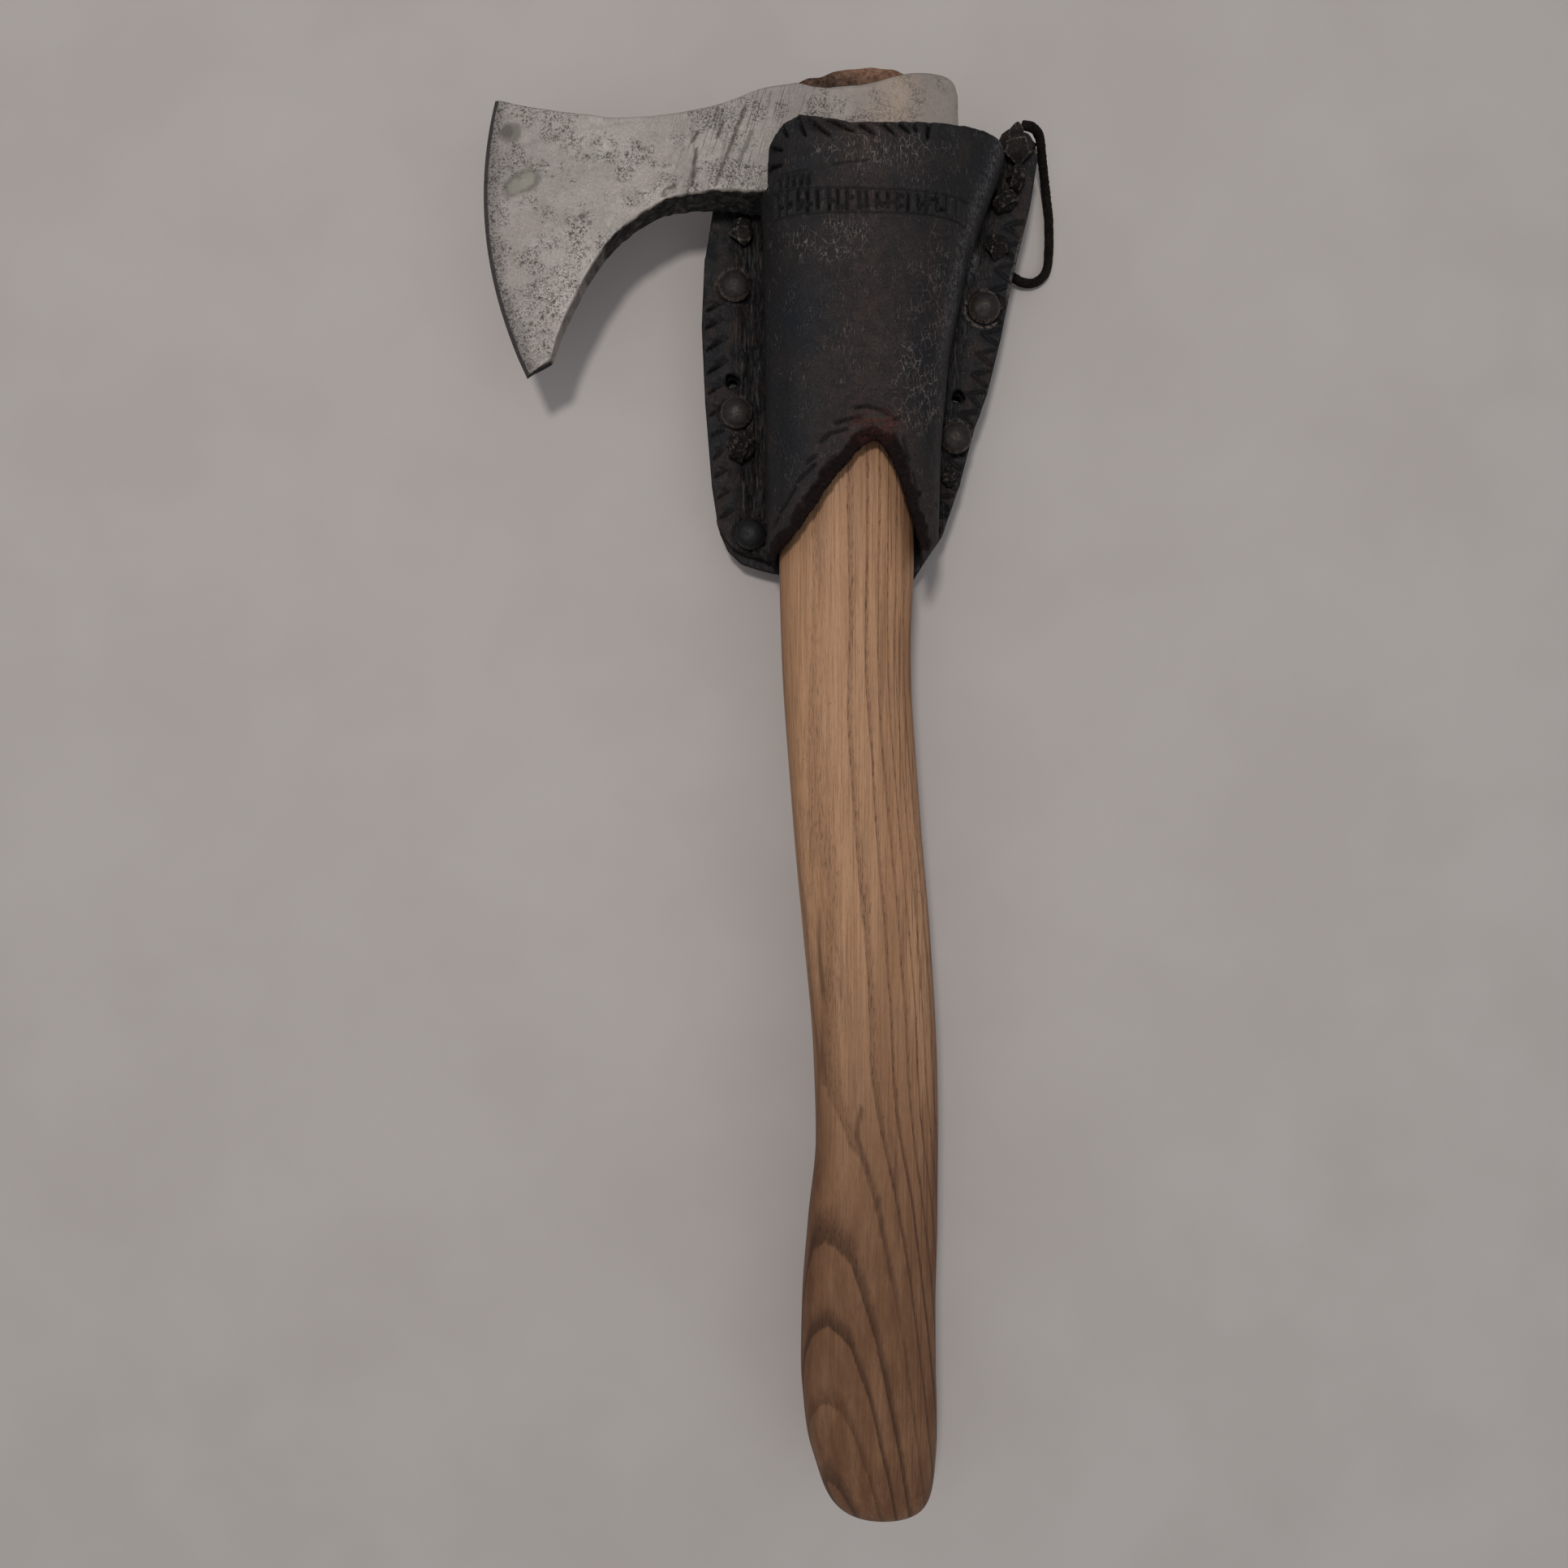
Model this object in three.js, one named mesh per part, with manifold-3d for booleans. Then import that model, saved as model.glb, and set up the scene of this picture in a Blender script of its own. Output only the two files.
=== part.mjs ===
// Bearded axe carried in a riveted leather belt holster, lying on its back.
//
// Units are millimetres and +Z is up. The axe and the holster are drawn in one layout: y runs along the
// haft from its butt (y = 0) to its proud top, x runs across it from the axis of the eye, with the blade
// on the -x side, and z is the height above the surface that the belt loop rests on. At the end the whole
// layout is shifted so that the origin is the bottom centre of its box, the carrying cord left out.

import * as THREE from 'three';
import { mergeVertices } from 'three/addons/utils/BufferGeometryUtils.js';
import Module from 'manifold-3d';

const wasm = await Module();
wasm.setup();

// ---------------------------------------------------------------- driving dimensions

const LEATHER = 2.6; // thickness of every sheet of holster leather
const GAP = 0.25; // between pieces that touch
const BELT_SPACE = 5.2; // clear height between the belt loop and the back panel

const BACK_BOTTOM = LEATHER + BELT_SPACE;
const BACK_TOP = BACK_BOTTOM + LEATHER;
const WELT_BOTTOM = BACK_TOP + GAP;
const WELT_TOP = WELT_BOTTOM + LEATHER;
const FLANGE_BOTTOM = WELT_TOP + GAP;
const FLANGE_TOP = FLANGE_BOTTOM + LEATHER;

const AXE_Z = 26; // height of the plane that halves the blade and the haft
const CREST = 41.9; // underside of the moulded front panel at its highest line

const EYE = { halfLength: 16.75, halfWidth: 9.5 }; // the oval hole through the head
const SHIM = 0.8; // leather wrapped round the tenon
const TENON_TOP = 435.4;
const SHIM_TOP = 431.4;
const SHOULDER = 397; // where the haft steps down to its tenon
const KERF = { top: 4, bottom: 1.6, depth: 32, halfLength: 13.5 }; // sawn for the wedge

const RIVET = { head: 4.95, rise: 3.1, post: 1.5, burr: 4.1, burrThickness: 1.1 };
const BELT_RIVET = { head: 3.9, rise: 0.6, post: 1.4, burr: 3.6, burrThickness: 0.8 };
const HOLE_PLAY = 0.3; // radial room round a post or a thong
const THONG = { width: 3.2, thickness: 1.5 };
const CORD_DIAMETER = 3.0;

const STRAP = { left: -23, right: 17, bottom: 296, top: 402, tab: 14, slope: 8 };

const ROUND = 12; // segments round a rivet

// ---------------------------------------------------------------- materials

const material = (color, roughness, metalness) =>
  new THREE.MeshStandardMaterial({ color, roughness, metalness });

const steel = material(0x8d8781, 0.45, 0.9);
const ash = material(0xb98f63, 0.6, 0);
const oiledWood = material(0x8a5a32, 0.5, 0);
const blackLeather = material(0x26262a, 0.55, 0);
const welt = material(0x2b2320, 0.8, 0);
const brownLeather = material(0x4a2c1c, 0.8, 0);
const thongLeather = material(0x241f1c, 0.85, 0);
const rivetMetal = material(0x3b3936, 0.45, 0.8);
const cordFibre = material(0x1d1a18, 0.95, 0);

// ---------------------------------------------------------------- helpers

const point = (x, y, z = 0) => new THREE.Vector3(x, y, z);

// A closed geometry as a manifold-3d solid.
function solid(geometry) {
  const bare = geometry.clone();
  bare.deleteAttribute('normal');
  bare.deleteAttribute('uv');
  const merged = mergeVertices(bare, 1e-4);
  return new wasm.Manifold(
    new wasm.Mesh({
      numProp: 3,
      vertProperties: new Float32Array(merged.attributes.position.array),
      triVerts: new Uint32Array(merged.index.array),
    }),
  );
}

function geometryOf(manifold) {
  const { vertProperties, triVerts, numProp } = manifold.getMesh();
  const geometry = new THREE.BufferGeometry();
  const positions = new Float32Array((vertProperties.length / numProp) * 3);
  for (let i = 0; i < positions.length / 3; i += 1) {
    for (let k = 0; k < 3; k += 1) positions[3 * i + k] = vertProperties[numProp * i + k];
  }
  geometry.setAttribute('position', new THREE.BufferAttribute(positions, 3));
  geometry.setIndex(new THREE.BufferAttribute(new Uint32Array(triVerts), 1));
  geometry.computeVertexNormals();
  return geometry;
}

// Moves every vertex of a closed three.js geometry to where place(vertex) says.
function warp(geometry, place) {
  const position = geometry.attributes.position;
  for (let i = 0; i < position.count; i += 1) {
    const to = place(new THREE.Vector3().fromBufferAttribute(position, i));
    position.setXYZ(i, to.x, to.y, to.z);
  }
  return geometry;
}

// A flat sheet of the given outline, lying from z = bottom upwards.
function sheet(outline, bottom, thickness = LEATHER) {
  const geometry = new THREE.ExtrudeGeometry(outline, {
    depth: thickness,
    bevelEnabled: false,
    curveSegments: 4,
  });
  return geometry.translate(0, 0, bottom);
}

const outlineThrough = (points) => new THREE.Shape(points.map(([x, y]) => new THREE.Vector2(x, y)));

const block = (x0, x1, y0, y1, z0, z1) =>
  solid(
    new THREE.BoxGeometry(x1 - x0, y1 - y0, z1 - z0).translate(
      (x0 + x1) / 2,
      (y0 + y1) / 2,
      (z0 + z1) / 2,
    ),
  );

// An upright cutter for a hole through the leather.
function punch([x, y], radius) {
  const height = 2 * FLANGE_TOP;
  const cylinder = new THREE.CylinderGeometry(radius, radius, height, ROUND);
  return solid(cylinder.rotateX(Math.PI / 2).translate(x, y, height / 2));
}

const punched = (body, holes) =>
  holes.reduce((left, { at, radius }) => left.subtract(punch(at, radius)), body);

// An oval column along y, with its long axis along x.
function ovalColumn(halfLength, halfWidth, from, to, segments = 28) {
  const column = new THREE.CylinderGeometry(1, 1, to - from, segments);
  return column.scale(halfLength, 1, halfWidth).translate(0, (from + to) / 2, AXE_Z);
}

// Value at y in a list of [y, value] rows, in straight steps.
function along(rows, y) {
  const after = rows.findIndex(([at]) => at >= y);
  if (after === 0) return rows[0][1];
  if (after < 0) return rows.at(-1)[1];
  const [[y0, v0], [y1, v1]] = [rows[after - 1], rows[after]];
  return v0 + ((v1 - v0) * (y - y0)) / (y1 - y0);
}

// ---------------------------------------------------------------- axe head

// Matching stations from the cutting edge to the poll: x, y, and half the thickness there.
const HEAD_TOP = [
  [-107.4, 430.1, 0.25],
  [-105.3, 429.8, 1.1],
  [-99, 427.9, 2.5],
  [-85, 425.1, 3.6],
  [-70, 422.8, 4.7],
  [-55, 423.1, 5.7],
  [-40, 425.5, 6.6],
  [-28, 429.4, 7.4],
  [-17.5, 430, 9.5],
  [-6, 426.7, 13.4],
  [6, 427.4, 14.4],
  [18, 430.8, 13.6],
  [24, 431.3, 12.4],
  [28.4, 430.8, 11],
  [31.1, 427.4, 9.8],
];
const HEAD_UNDERSIDE = [
  [-97.5, 347, 0.25],
  [-95.8, 348.2, 1.1],
  [-91, 350.8, 2.2],
  [-84.4, 366.8, 3.2],
  [-75.4, 382.6, 4],
  [-62.6, 394.4, 4.8],
  [-46, 399.7, 6.2],
  [-28, 399.5, 7.4],
  [-17.5, 399.2, 9.5],
  [-6, 398.8, 13.4],
  [6, 398.4, 14.4],
  [18, 398, 13.6],
  [24, 397.9, 12.4],
  [28.6, 398.6, 11],
  [31.8, 402.4, 9.8],
];
const EDGE_BOW = 7.6; // how far the cutting edge bulges past its chord
const BOW_REACH = 0.42; // share of the way to the poll over which the bulge dies out

function axeHead() {
  const top = new THREE.CatmullRomCurve3(HEAD_TOP.map(([x, y, half]) => point(x, y, half)));
  const underside = new THREE.CatmullRomCurve3(
    HEAD_UNDERSIDE.map(([x, y, half]) => point(x, y, half)),
  );
  const alongHead = 2 * (HEAD_TOP.length - 1);
  const upHead = 8;
  const grid = new THREE.BoxGeometry(1, 1, 1, alongHead, upHead, 1);
  warp(grid, ({ x, y, z }) => {
    const [u, v] = [x + 0.5, y + 0.5];
    const station = underside.getPoint(u).lerp(top.getPoint(u), v);
    const fade = Math.max(0, 1 - u / BOW_REACH) ** 2;
    const bulge = EDGE_BOW * fade * 4 * v * (1 - v);
    return point(station.x - bulge, station.y, AXE_Z + 2 * z * station.z);
  });
  const eye = solid(ovalColumn(EYE.halfLength, EYE.halfWidth, 380, 450));
  return geometryOf(solid(grid).subtract(eye));
}

// ---------------------------------------------------------------- haft, wedge and shim

// Stations from the butt up: y, left side, right side, half the thickness.
const HAFT = [
  [2, 7.5, 13.5, 2],
  [3.2, 1.2, 18.2, 6],
  [5.6, -4, 22.6, 9.4],
  [10.5, -7.6, 24.7, 12.2],
  [18, -10.3, 25.7, 13.5],
  [28, -13, 26.2, 13.9],
  [44, -14.6, 25.9, 14.1],
  [67, -14.4, 25.7, 13.8],
  [91, -12.7, 26.4, 13.2],
  [116, -10.4, 26.6, 12.7],
  [141, -11, 26.1, 12.5],
  [180, -14.4, 24, 12.5],
  [215, -17.6, 21, 12.7],
  [264, -20.7, 18.3, 13],
  [291, -21.3, 19.2, 13],
  [320, -20.9, 18.9, 12.8],
  [360, -19, 18, 11.8],
  [SHOULDER, -17.4, 17.4, 10.6],
];
const HAFT_SQUARENESS = 2.5; // superellipse exponent of the haft's section

const power = (value, exponent) => Math.sign(value) * Math.abs(value) ** exponent;

function haftBody() {
  const left = new THREE.CatmullRomCurve3(HAFT.map(([y, x, , half]) => point(x, y, half)));
  const right = new THREE.CatmullRomCurve3(HAFT.map(([y, , x, half]) => point(x, y, half)));
  const barrel = new THREE.CylinderGeometry(1, 1, 1, 24, 26);
  return warp(barrel, ({ x, y, z }) => {
    const [from, to] = [left.getPoint(y + 0.5), right.getPoint(y + 0.5)];
    const across = power(x, 2 / HAFT_SQUARENESS) * (to.x - from.x) * 0.5;
    const rise = power(z, 2 / HAFT_SQUARENESS) * from.z;
    return point((from.x + to.x) / 2 + across, from.y, AXE_Z + rise);
  });
}

const tenonInset = SHIM + 2 * GAP;

// The wedge fills the kerf; grow makes the cutter for the kerf itself.
function wedgeShape(grow = 0) {
  const bottom = TENON_TOP - KERF.depth;
  const [wide, narrow] = [KERF.top / 2 - GAP + grow, KERF.bottom / 2 - GAP + grow];
  const profile = outlineThrough([
    [bottom - grow, -narrow],
    [TENON_TOP + grow, -wide],
    [TENON_TOP + grow, wide],
    [bottom - grow, narrow],
  ]);
  const halfLength = KERF.halfLength + grow;
  const plate = new THREE.ExtrudeGeometry(profile, {
    depth: 2 * halfLength,
    bevelEnabled: false,
  });
  // The profile is drawn as (y, z) and swept along x.
  return plate
    .applyMatrix4(new THREE.Matrix4().makeBasis(point(0, 1, 0), point(0, 0, 1), point(1, 0, 0)))
    .translate(-halfLength, 0, AXE_Z);
}

function haft() {
  const tenon = ovalColumn(
    EYE.halfLength - tenonInset,
    EYE.halfWidth - tenonInset,
    SHOULDER - 10,
    TENON_TOP,
  );
  return geometryOf(solid(haftBody()).add(solid(tenon)).subtract(solid(wedgeShape(GAP))));
}

function eyeShim() {
  const outer = ovalColumn(EYE.halfLength - GAP, EYE.halfWidth - GAP, SHOULDER + GAP, SHIM_TOP);
  const inner = ovalColumn(
    EYE.halfLength - GAP - SHIM,
    EYE.halfWidth - GAP - SHIM,
    SHOULDER - 5,
    SHIM_TOP + 5,
  );
  return geometryOf(solid(outer).subtract(solid(inner)));
}

// ---------------------------------------------------------------- holster layout

const OUTER_LEFT = [
  [-42, 404],
  [-45, 385],
  [-45.8, 366],
  [-44.7, 342],
  [-42.6, 316],
  [-40.6, 303],
];
const BACK_BOTTOM_LEFT = [
  [-38, 297],
  [-33.8, 293],
  [-27.9, 291],
  [-20, 289.2],
];
const FLANGE_BOTTOM_LEFT = [
  [-39.4, 301.5],
  [-36.6, 297.5],
  [-31.7, 294.8],
  [-26.6, 293.6],
];
const OUTER_RIGHT = [
  [20.8, 287.2],
  [25, 293.8],
  [29.5, 300.3],
  [35, 316.6],
  [39.6, 334],
  [43.6, 345],
  [47.8, 362],
  [51.4, 380.6],
  [57, 403.4],
  [59.4, 418.5],
  [58.4, 423.4],
  [55.2, 426.3],
];
const NOTCH = [
  [-22.8, 290.8],
  [-17, 295.3],
  [-12, 302],
  [-6.5, 310.3],
  [0, 318],
  [6.2, 322.4],
  [10.4, 318],
  [13.6, 311.2],
  [17, 301.6],
  [19.6, 294],
];
const FRONT_TOP_EDGE = [
  [48.6, 426.2],
  [48.4, 413.4],
  [46.8, 414.6],
  [44, 414.8],
  [30, 413.9],
  [0, 413.6],
  [-15.5, 416.6],
  [-20.8, 414.7],
  [-24.4, 410.3],
  [-25.9, 404.4],
];

const RIVETS = {
  left_upper: [-35.4, 378.3],
  left_middle: [-34.9, 338.7],
  left_lower: [-30.4, 301],
  right_upper: [42.5, 371.5],
  right_lower: [33.6, 330.9],
};
const BELT_RIVETS = {
  belt_upper_left: [-14, 395],
  belt_upper_right: [8, 395],
  belt_lower_left: [-14, 303],
  belt_lower_right: [8, 303],
};
const EMPTY_HOLES = [
  { at: [-36.2, 349], radius: 2.2 },
  { at: [34.4, 344], radius: 2 },
];
// Knots of leather thong on the front: place, half width, half length, height, and how low the stem of
// the one that holds the end of the carrying cord reaches.
const KNOTS = {
  left_upper_knot: { at: [-33.4, 394], half: [4.1, 4.3], rise: 4.8 },
  left_lower_knot: { at: [-33.2, 327.9], half: [5.2, 4.8], rise: 4.6 },
  right_top_knot: { at: [51.2, 420.3], half: [6, 5.1], rise: 7 },
  right_second_knot: { at: [52.4, 411.4], half: [3.4, 4.1], rise: 5.2 },
  right_third_knot: { at: [48.6, 403.6], half: [3.7, 3.5], rise: 4.4 },
  right_middle_knot: { at: [46.3, 390.5], half: [4.2, 4.4], rise: 3.6, foot: 3.4 },
  right_lower_knot: { at: [31.4, 318.4], half: [2.7, 3.8], rise: 2.6 },
};
const STEM = 1.4; // radius of the thong where it passes through the leather

const throughHoles = [
  ...Object.values(RIVETS).map((at) => ({ at, radius: RIVET.post + HOLE_PLAY })),
  ...Object.values(KNOTS).map(({ at }) => ({ at, radius: STEM + HOLE_PLAY })),
  ...EMPTY_HOLES,
];
const beltHoles = Object.values(BELT_RIVETS).map((at) => ({
  at,
  radius: BELT_RIVET.post + HOLE_PLAY,
}));

// ---------------------------------------------------------------- moulded front panel

// Outer foot of the sleeve on each side, by y, and how square its right shoulder is.
const FOOT_LEFT = [
  [285, -24.9],
  [390, -26.5],
  [400, -27.6],
];
const FOOT_RIGHT = [
  [285, 27.2],
  [301, 27.2],
  [326, 28],
  [353, 30.6],
  [384, 36.8],
  [407, 45.6],
  [414, 47.9],
];
const RIGHT_SHOULDER = [
  [320, 3.2],
  [407, 2.7],
];
const LEFT_SHOULDER = 4;
const UNDER_NECK = 36.5; // height of the free edge of the left wall, where the blade leaves the sleeve
const ARCH_SHARE = 0.8; // of the steps across the panel
const PANEL_SPAN = { left: -60, right: 75, bottom: 282, top: 434 };

// A point of the panel. across runs 0..1 from the left flange to the right, side is 0 inside and 1 outside.
function panelPoint(across, y, side) {
  const flange = (1 - ARCH_SHARE) / 2;
  const [footLeft, footRight] = [along(FOOT_LEFT, y), along(FOOT_RIGHT, y)];
  const inset = LEATHER * (1 - side);
  const [left, right] = [footLeft + inset, footRight - inset];
  const base = FLANGE_BOTTOM + LEATHER * side;
  if (across <= flange) {
    return point(THREE.MathUtils.lerp(PANEL_SPAN.left, left, across / flange), y, base);
  }
  if (across >= 1 - flange) {
    const share = (across - 1 + flange) / flange;
    return point(THREE.MathUtils.lerp(right, PANEL_SPAN.right, share), y, base);
  }
  const angle = Math.PI * (1 - (across - flange) / ARCH_SHARE);
  const exponent = 2 / (angle > Math.PI / 2 ? LEFT_SHOULDER : along(RIGHT_SHOULDER, y));
  const middle = (left + right) / 2;
  const x = middle + (right - middle) * power(Math.cos(angle), exponent);
  return point(x, y, base + (CREST - FLANGE_BOTTOM) * Math.sin(angle) ** exponent);
}

function frontPanel() {
  const grid = new THREE.BoxGeometry(1, 1, 1, 20, 14, 1);
  warp(grid, ({ x, y, z }) =>
    panelPoint(
      x + 0.5,
      THREE.MathUtils.lerp(PANEL_SPAN.bottom, PANEL_SPAN.top, y + 0.5),
      z + 0.5,
    ),
  );
  const outline = outlineThrough([
    ...OUTER_LEFT,
    ...FLANGE_BOTTOM_LEFT,
    ...NOTCH,
    ...OUTER_RIGHT,
    ...FRONT_TOP_EDGE,
    [-27, 404.3],
  ]);
  const trimmed = solid(grid).intersect(solid(sheet(outline, 0, 2 * CREST)));
  // The neck of the blade leaves the sleeve on the left, so the wall stops under it.
  const underNeck = block(-70, -15, 399, 450, FLANGE_TOP + GAP, UNDER_NECK);
  const pastFlange = block(-70, -15, 404.3, 450, 0, UNDER_NECK);
  return geometryOf(punched(trimmed.subtract(underNeck).subtract(pastFlange), throughHoles));
}

// ---------------------------------------------------------------- flat leather

function backPanel() {
  const outline = outlineThrough([
    ...OUTER_LEFT,
    ...BACK_BOTTOM_LEFT,
    ...OUTER_RIGHT,
    [46, 427.4],
    [-20, 426],
    [-33, 415],
  ]);
  return geometryOf(
    punched(solid(sheet(outline, BACK_BOTTOM)), [...throughHoles, ...beltHoles]),
  );
}

const insideLeft = (y) => along(FOOT_LEFT, y) + LEATHER;
const insideRight = (y) => along(FOOT_RIGHT, y) - LEATHER;

// Spacers between the flanges, open towards the sleeve.
function leftWelt() {
  const outline = outlineThrough([
    ...OUTER_LEFT,
    ...FLANGE_BOTTOM_LEFT,
    [insideLeft(292), 292],
    [insideLeft(403.8), 403.8],
  ]);
  return geometryOf(punched(solid(sheet(outline, WELT_BOTTOM)), throughHoles));
}

function rightWelt() {
  const steps = [426, 407, 384, 353, 326, 301, 295];
  const inner = steps.map((y) => [insideRight(y), y]);
  const outline = outlineThrough([...OUTER_RIGHT.slice(1), ...inner]);
  return geometryOf(punched(solid(sheet(outline, WELT_BOTTOM)), throughHoles));
}

// The strap on the back that a belt slides through, bowed away from the back panel.
function beltLoop() {
  const high = BACK_BOTTOM - GAP;
  const { left, right, bottom, top, tab, slope } = STRAP;
  const outside = [
    [bottom, high - LEATHER],
    [bottom + tab, high - LEATHER],
    [bottom + tab + slope, 0],
    [top - tab - slope, 0],
    [top - tab, high - LEATHER],
    [top, high - LEATHER],
  ];
  const inside = outside.map(([y, z]) => [y, z + LEATHER]).reverse();
  const strap = new THREE.ExtrudeGeometry(outlineThrough([...outside, ...inside]), {
    depth: right - left,
    bevelEnabled: false,
  });
  // The profile is drawn as (y, z) and swept along x.
  strap
    .applyMatrix4(new THREE.Matrix4().makeBasis(point(0, 1, 0), point(0, 0, 1), point(1, 0, 0)))
    .translate(left, 0, 0);
  return geometryOf(punched(solid(strap), beltHoles));
}

// ---------------------------------------------------------------- rivets, knots, thongs and cord

// Turns a lathe profile of [radius, z] pairs about an upright axis.
function turned(profile, [x, y]) {
  const lathe = new THREE.LatheGeometry(
    profile.map(([radius, z]) => new THREE.Vector2(radius, z)),
    ROUND,
  );
  return lathe.rotateX(Math.PI / 2).translate(x, y, 0);
}

// A domed head on a post: base is the height that the head sits at, foot is where the post ends.
function rivet({ head, rise, post }, at, base, foot) {
  const dome = [1, 0.93, 0.7, 0.38].map((share) => [head * share, base + rise * (1 - share ** 2.4)]);
  return turned([[0, foot], [post, foot], [post, base], ...dome, [0, base + rise]], at);
}

// The washer that the post is peened over.
function burr({ post, burr: radius, burrThickness }, at, top) {
  const bore = post + HOLE_PLAY;
  const bottom = top - burrThickness;
  return turned([[bore, bottom], [radius, bottom], [radius, top], [bore, top], [bore, bottom]], at);
}

// A knot is a rough dome of thong with its stem down through the leather.
function knot({ at: [x, y], half: [halfWidth, halfLength], rise, foot = BACK_BOTTOM }) {
  const base = FLANGE_TOP + GAP;
  const cap = [1, 0.92, 0.62].map((share) => [share, base + rise * (0.12 + 0.88 * (1 - share ** 2))]);
  const dome = new THREE.LatheGeometry(
    [[0, base], [0.94, base], ...cap, [0, base + rise]].map(([r, z]) => new THREE.Vector2(r, z)),
    ROUND,
  );
  dome.rotateX(Math.PI / 2).scale(halfWidth, halfLength, 1).translate(x, y, 0);
  const length = base + 1 - foot;
  const stem = new THREE.CylinderGeometry(STEM, STEM, length, 10);
  stem.rotateX(Math.PI / 2).translate(x, y, foot + length / 2);
  return solid(dome).add(solid(stem));
}

// A flat thong on the back of the holster, between two knots.
function thong(points) {
  const middle = BACK_BOTTOM - GAP - THONG.thickness / 2;
  const path = new THREE.CatmullRomCurve3(points.map(([x, y]) => point(x, y, middle)));
  const [across, thick] = [THONG.width / 2, THONG.thickness / 2];
  const section = outlineThrough([
    [-thick, -across],
    [thick, -across],
    [thick, across],
    [-thick, across],
  ]);
  return new THREE.ExtrudeGeometry(section, { steps: 16, extrudePath: path, bevelEnabled: false });
}

const LEFT_THONG = [KNOTS.left_upper_knot.at, [-29, 380], [-28.5, 341], KNOTS.left_lower_knot.at];
const RIGHT_THONG = [
  KNOTS.right_third_knot.at,
  [41.5, 394],
  [36, 371],
  [26.6, 331],
  KNOTS.right_lower_knot.at,
];

// The carrying cord: out of the frayed tail of the top knot, over the end of the flange, down to the
// surface that the holster lies on, and back under the flange to the stem of the middle knot.
const CORD_TAIL = { at: [51.2, 425.7, 18.4], radius: 2.3 };
const CORD_ROUTE = [
  [53.9, 427.2, 18.7],
  [56, 427.1, 18.4],
  [57.9, 426.6, 17.6],
  [59.4, 425.8, 16.2],
  [60.3, 424.9, 14.7],
  [61.3, 423, 11.8],
  [62.4, 421, 8.7],
  [63.6, 418.8, 5.3],
  [64.4, 417, 3.3],
  [65, 414.6, 2],
  [65.4, 412, 1.7],
  [65.9, 407.8, 1.7],
  [66.1, 402.6, 1.7],
  [66.1, 397.4, 1.7],
  [65.8, 392.6, 1.7],
  [65.1, 389.4, 1.7],
  [63.3, 387, 1.7],
  [60.8, 385.7, 1.8],
  [57.8, 385.6, 2.3],
  [54.8, 386.5, 3.2],
  [51.9, 387.9, 4.1],
  [47.9, 389.8, 5],
];

function cord() {
  const path = new THREE.CatmullRomCurve3(CORD_ROUTE.map(([x, y, z]) => point(x, y, z)));
  const section = new THREE.Shape().absarc(0, 0, CORD_DIAMETER / 2, 0, 2 * Math.PI);
  return new THREE.ExtrudeGeometry(section, {
    steps: 2 * (CORD_ROUTE.length - 1),
    curveSegments: 4,
    extrudePath: path,
    bevelEnabled: false,
  });
}

function topKnot() {
  const tail = new THREE.SphereGeometry(CORD_TAIL.radius, 10, 8).translate(...CORD_TAIL.at);
  return knot(KNOTS.right_top_knot).add(solid(tail));
}

// ---------------------------------------------------------------- assembly

const part = new THREE.Group();

function place(name, geometry, look) {
  const mesh = new THREE.Mesh(geometry, look);
  mesh.name = name;
  part.add(mesh);
  return mesh;
}

place('axe_head', axeHead(), steel);
place('haft', haft(), ash);
place('eye_wedge', wedgeShape(), oiledWood);
place('eye_shim', eyeShim(), brownLeather);

place('front_panel', frontPanel(), blackLeather);
place('back_panel', backPanel(), blackLeather);
place('left_welt', leftWelt(), welt);
place('right_welt', rightWelt(), welt);
place('belt_loop', beltLoop(), blackLeather);

const burrTop = BACK_BOTTOM - GAP;
for (const [name, at] of Object.entries(RIVETS)) {
  place(`${name}_rivet`, rivet(RIVET, at, FLANGE_TOP + GAP, burrTop - RIVET.burrThickness - 0.4), rivetMetal);
  place(`${name}_burr`, burr(RIVET, at, burrTop), rivetMetal);
}
const beltBurrTop = burrTop - LEATHER - GAP;
for (const [name, at] of Object.entries(BELT_RIVETS)) {
  const foot = beltBurrTop - BELT_RIVET.burrThickness - 0.3;
  place(`${name}_rivet`, rivet(BELT_RIVET, at, BACK_TOP + GAP, foot), rivetMetal);
  place(`${name}_burr`, burr(BELT_RIVET, at, beltBurrTop), rivetMetal);
}
for (const [name, shape] of Object.entries(KNOTS)) {
  const body = name === 'right_top_knot' ? topKnot() : knot(shape);
  place(name, geometryOf(body), thongLeather);
}
place('left_thong', thong(LEFT_THONG), thongLeather);
place('right_thong', thong(RIGHT_THONG), thongLeather);

const carryingCord = place('carrying_cord', cord(), cordFibre);

// The origin goes to the bottom centre of everything but the cord.
const box = new THREE.Box3();
for (const mesh of part.children) {
  if (mesh !== carryingCord) box.expandByObject(mesh, true);
}
const centre = box.getCenter(new THREE.Vector3());
for (const mesh of part.children) mesh.geometry.translate(-centre.x, -centre.y, -box.min.z);

export default part;
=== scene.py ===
# A belt axe lying on its back in a riveted leather holster, seen from straight above.
#
# Shapes are drawn in millimetres in the layout of the part: x across the haft from the axis of the eye,
# y along it from near its butt, z up from the floor. in_frame() turns them into metres in the row frame.

import math

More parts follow.
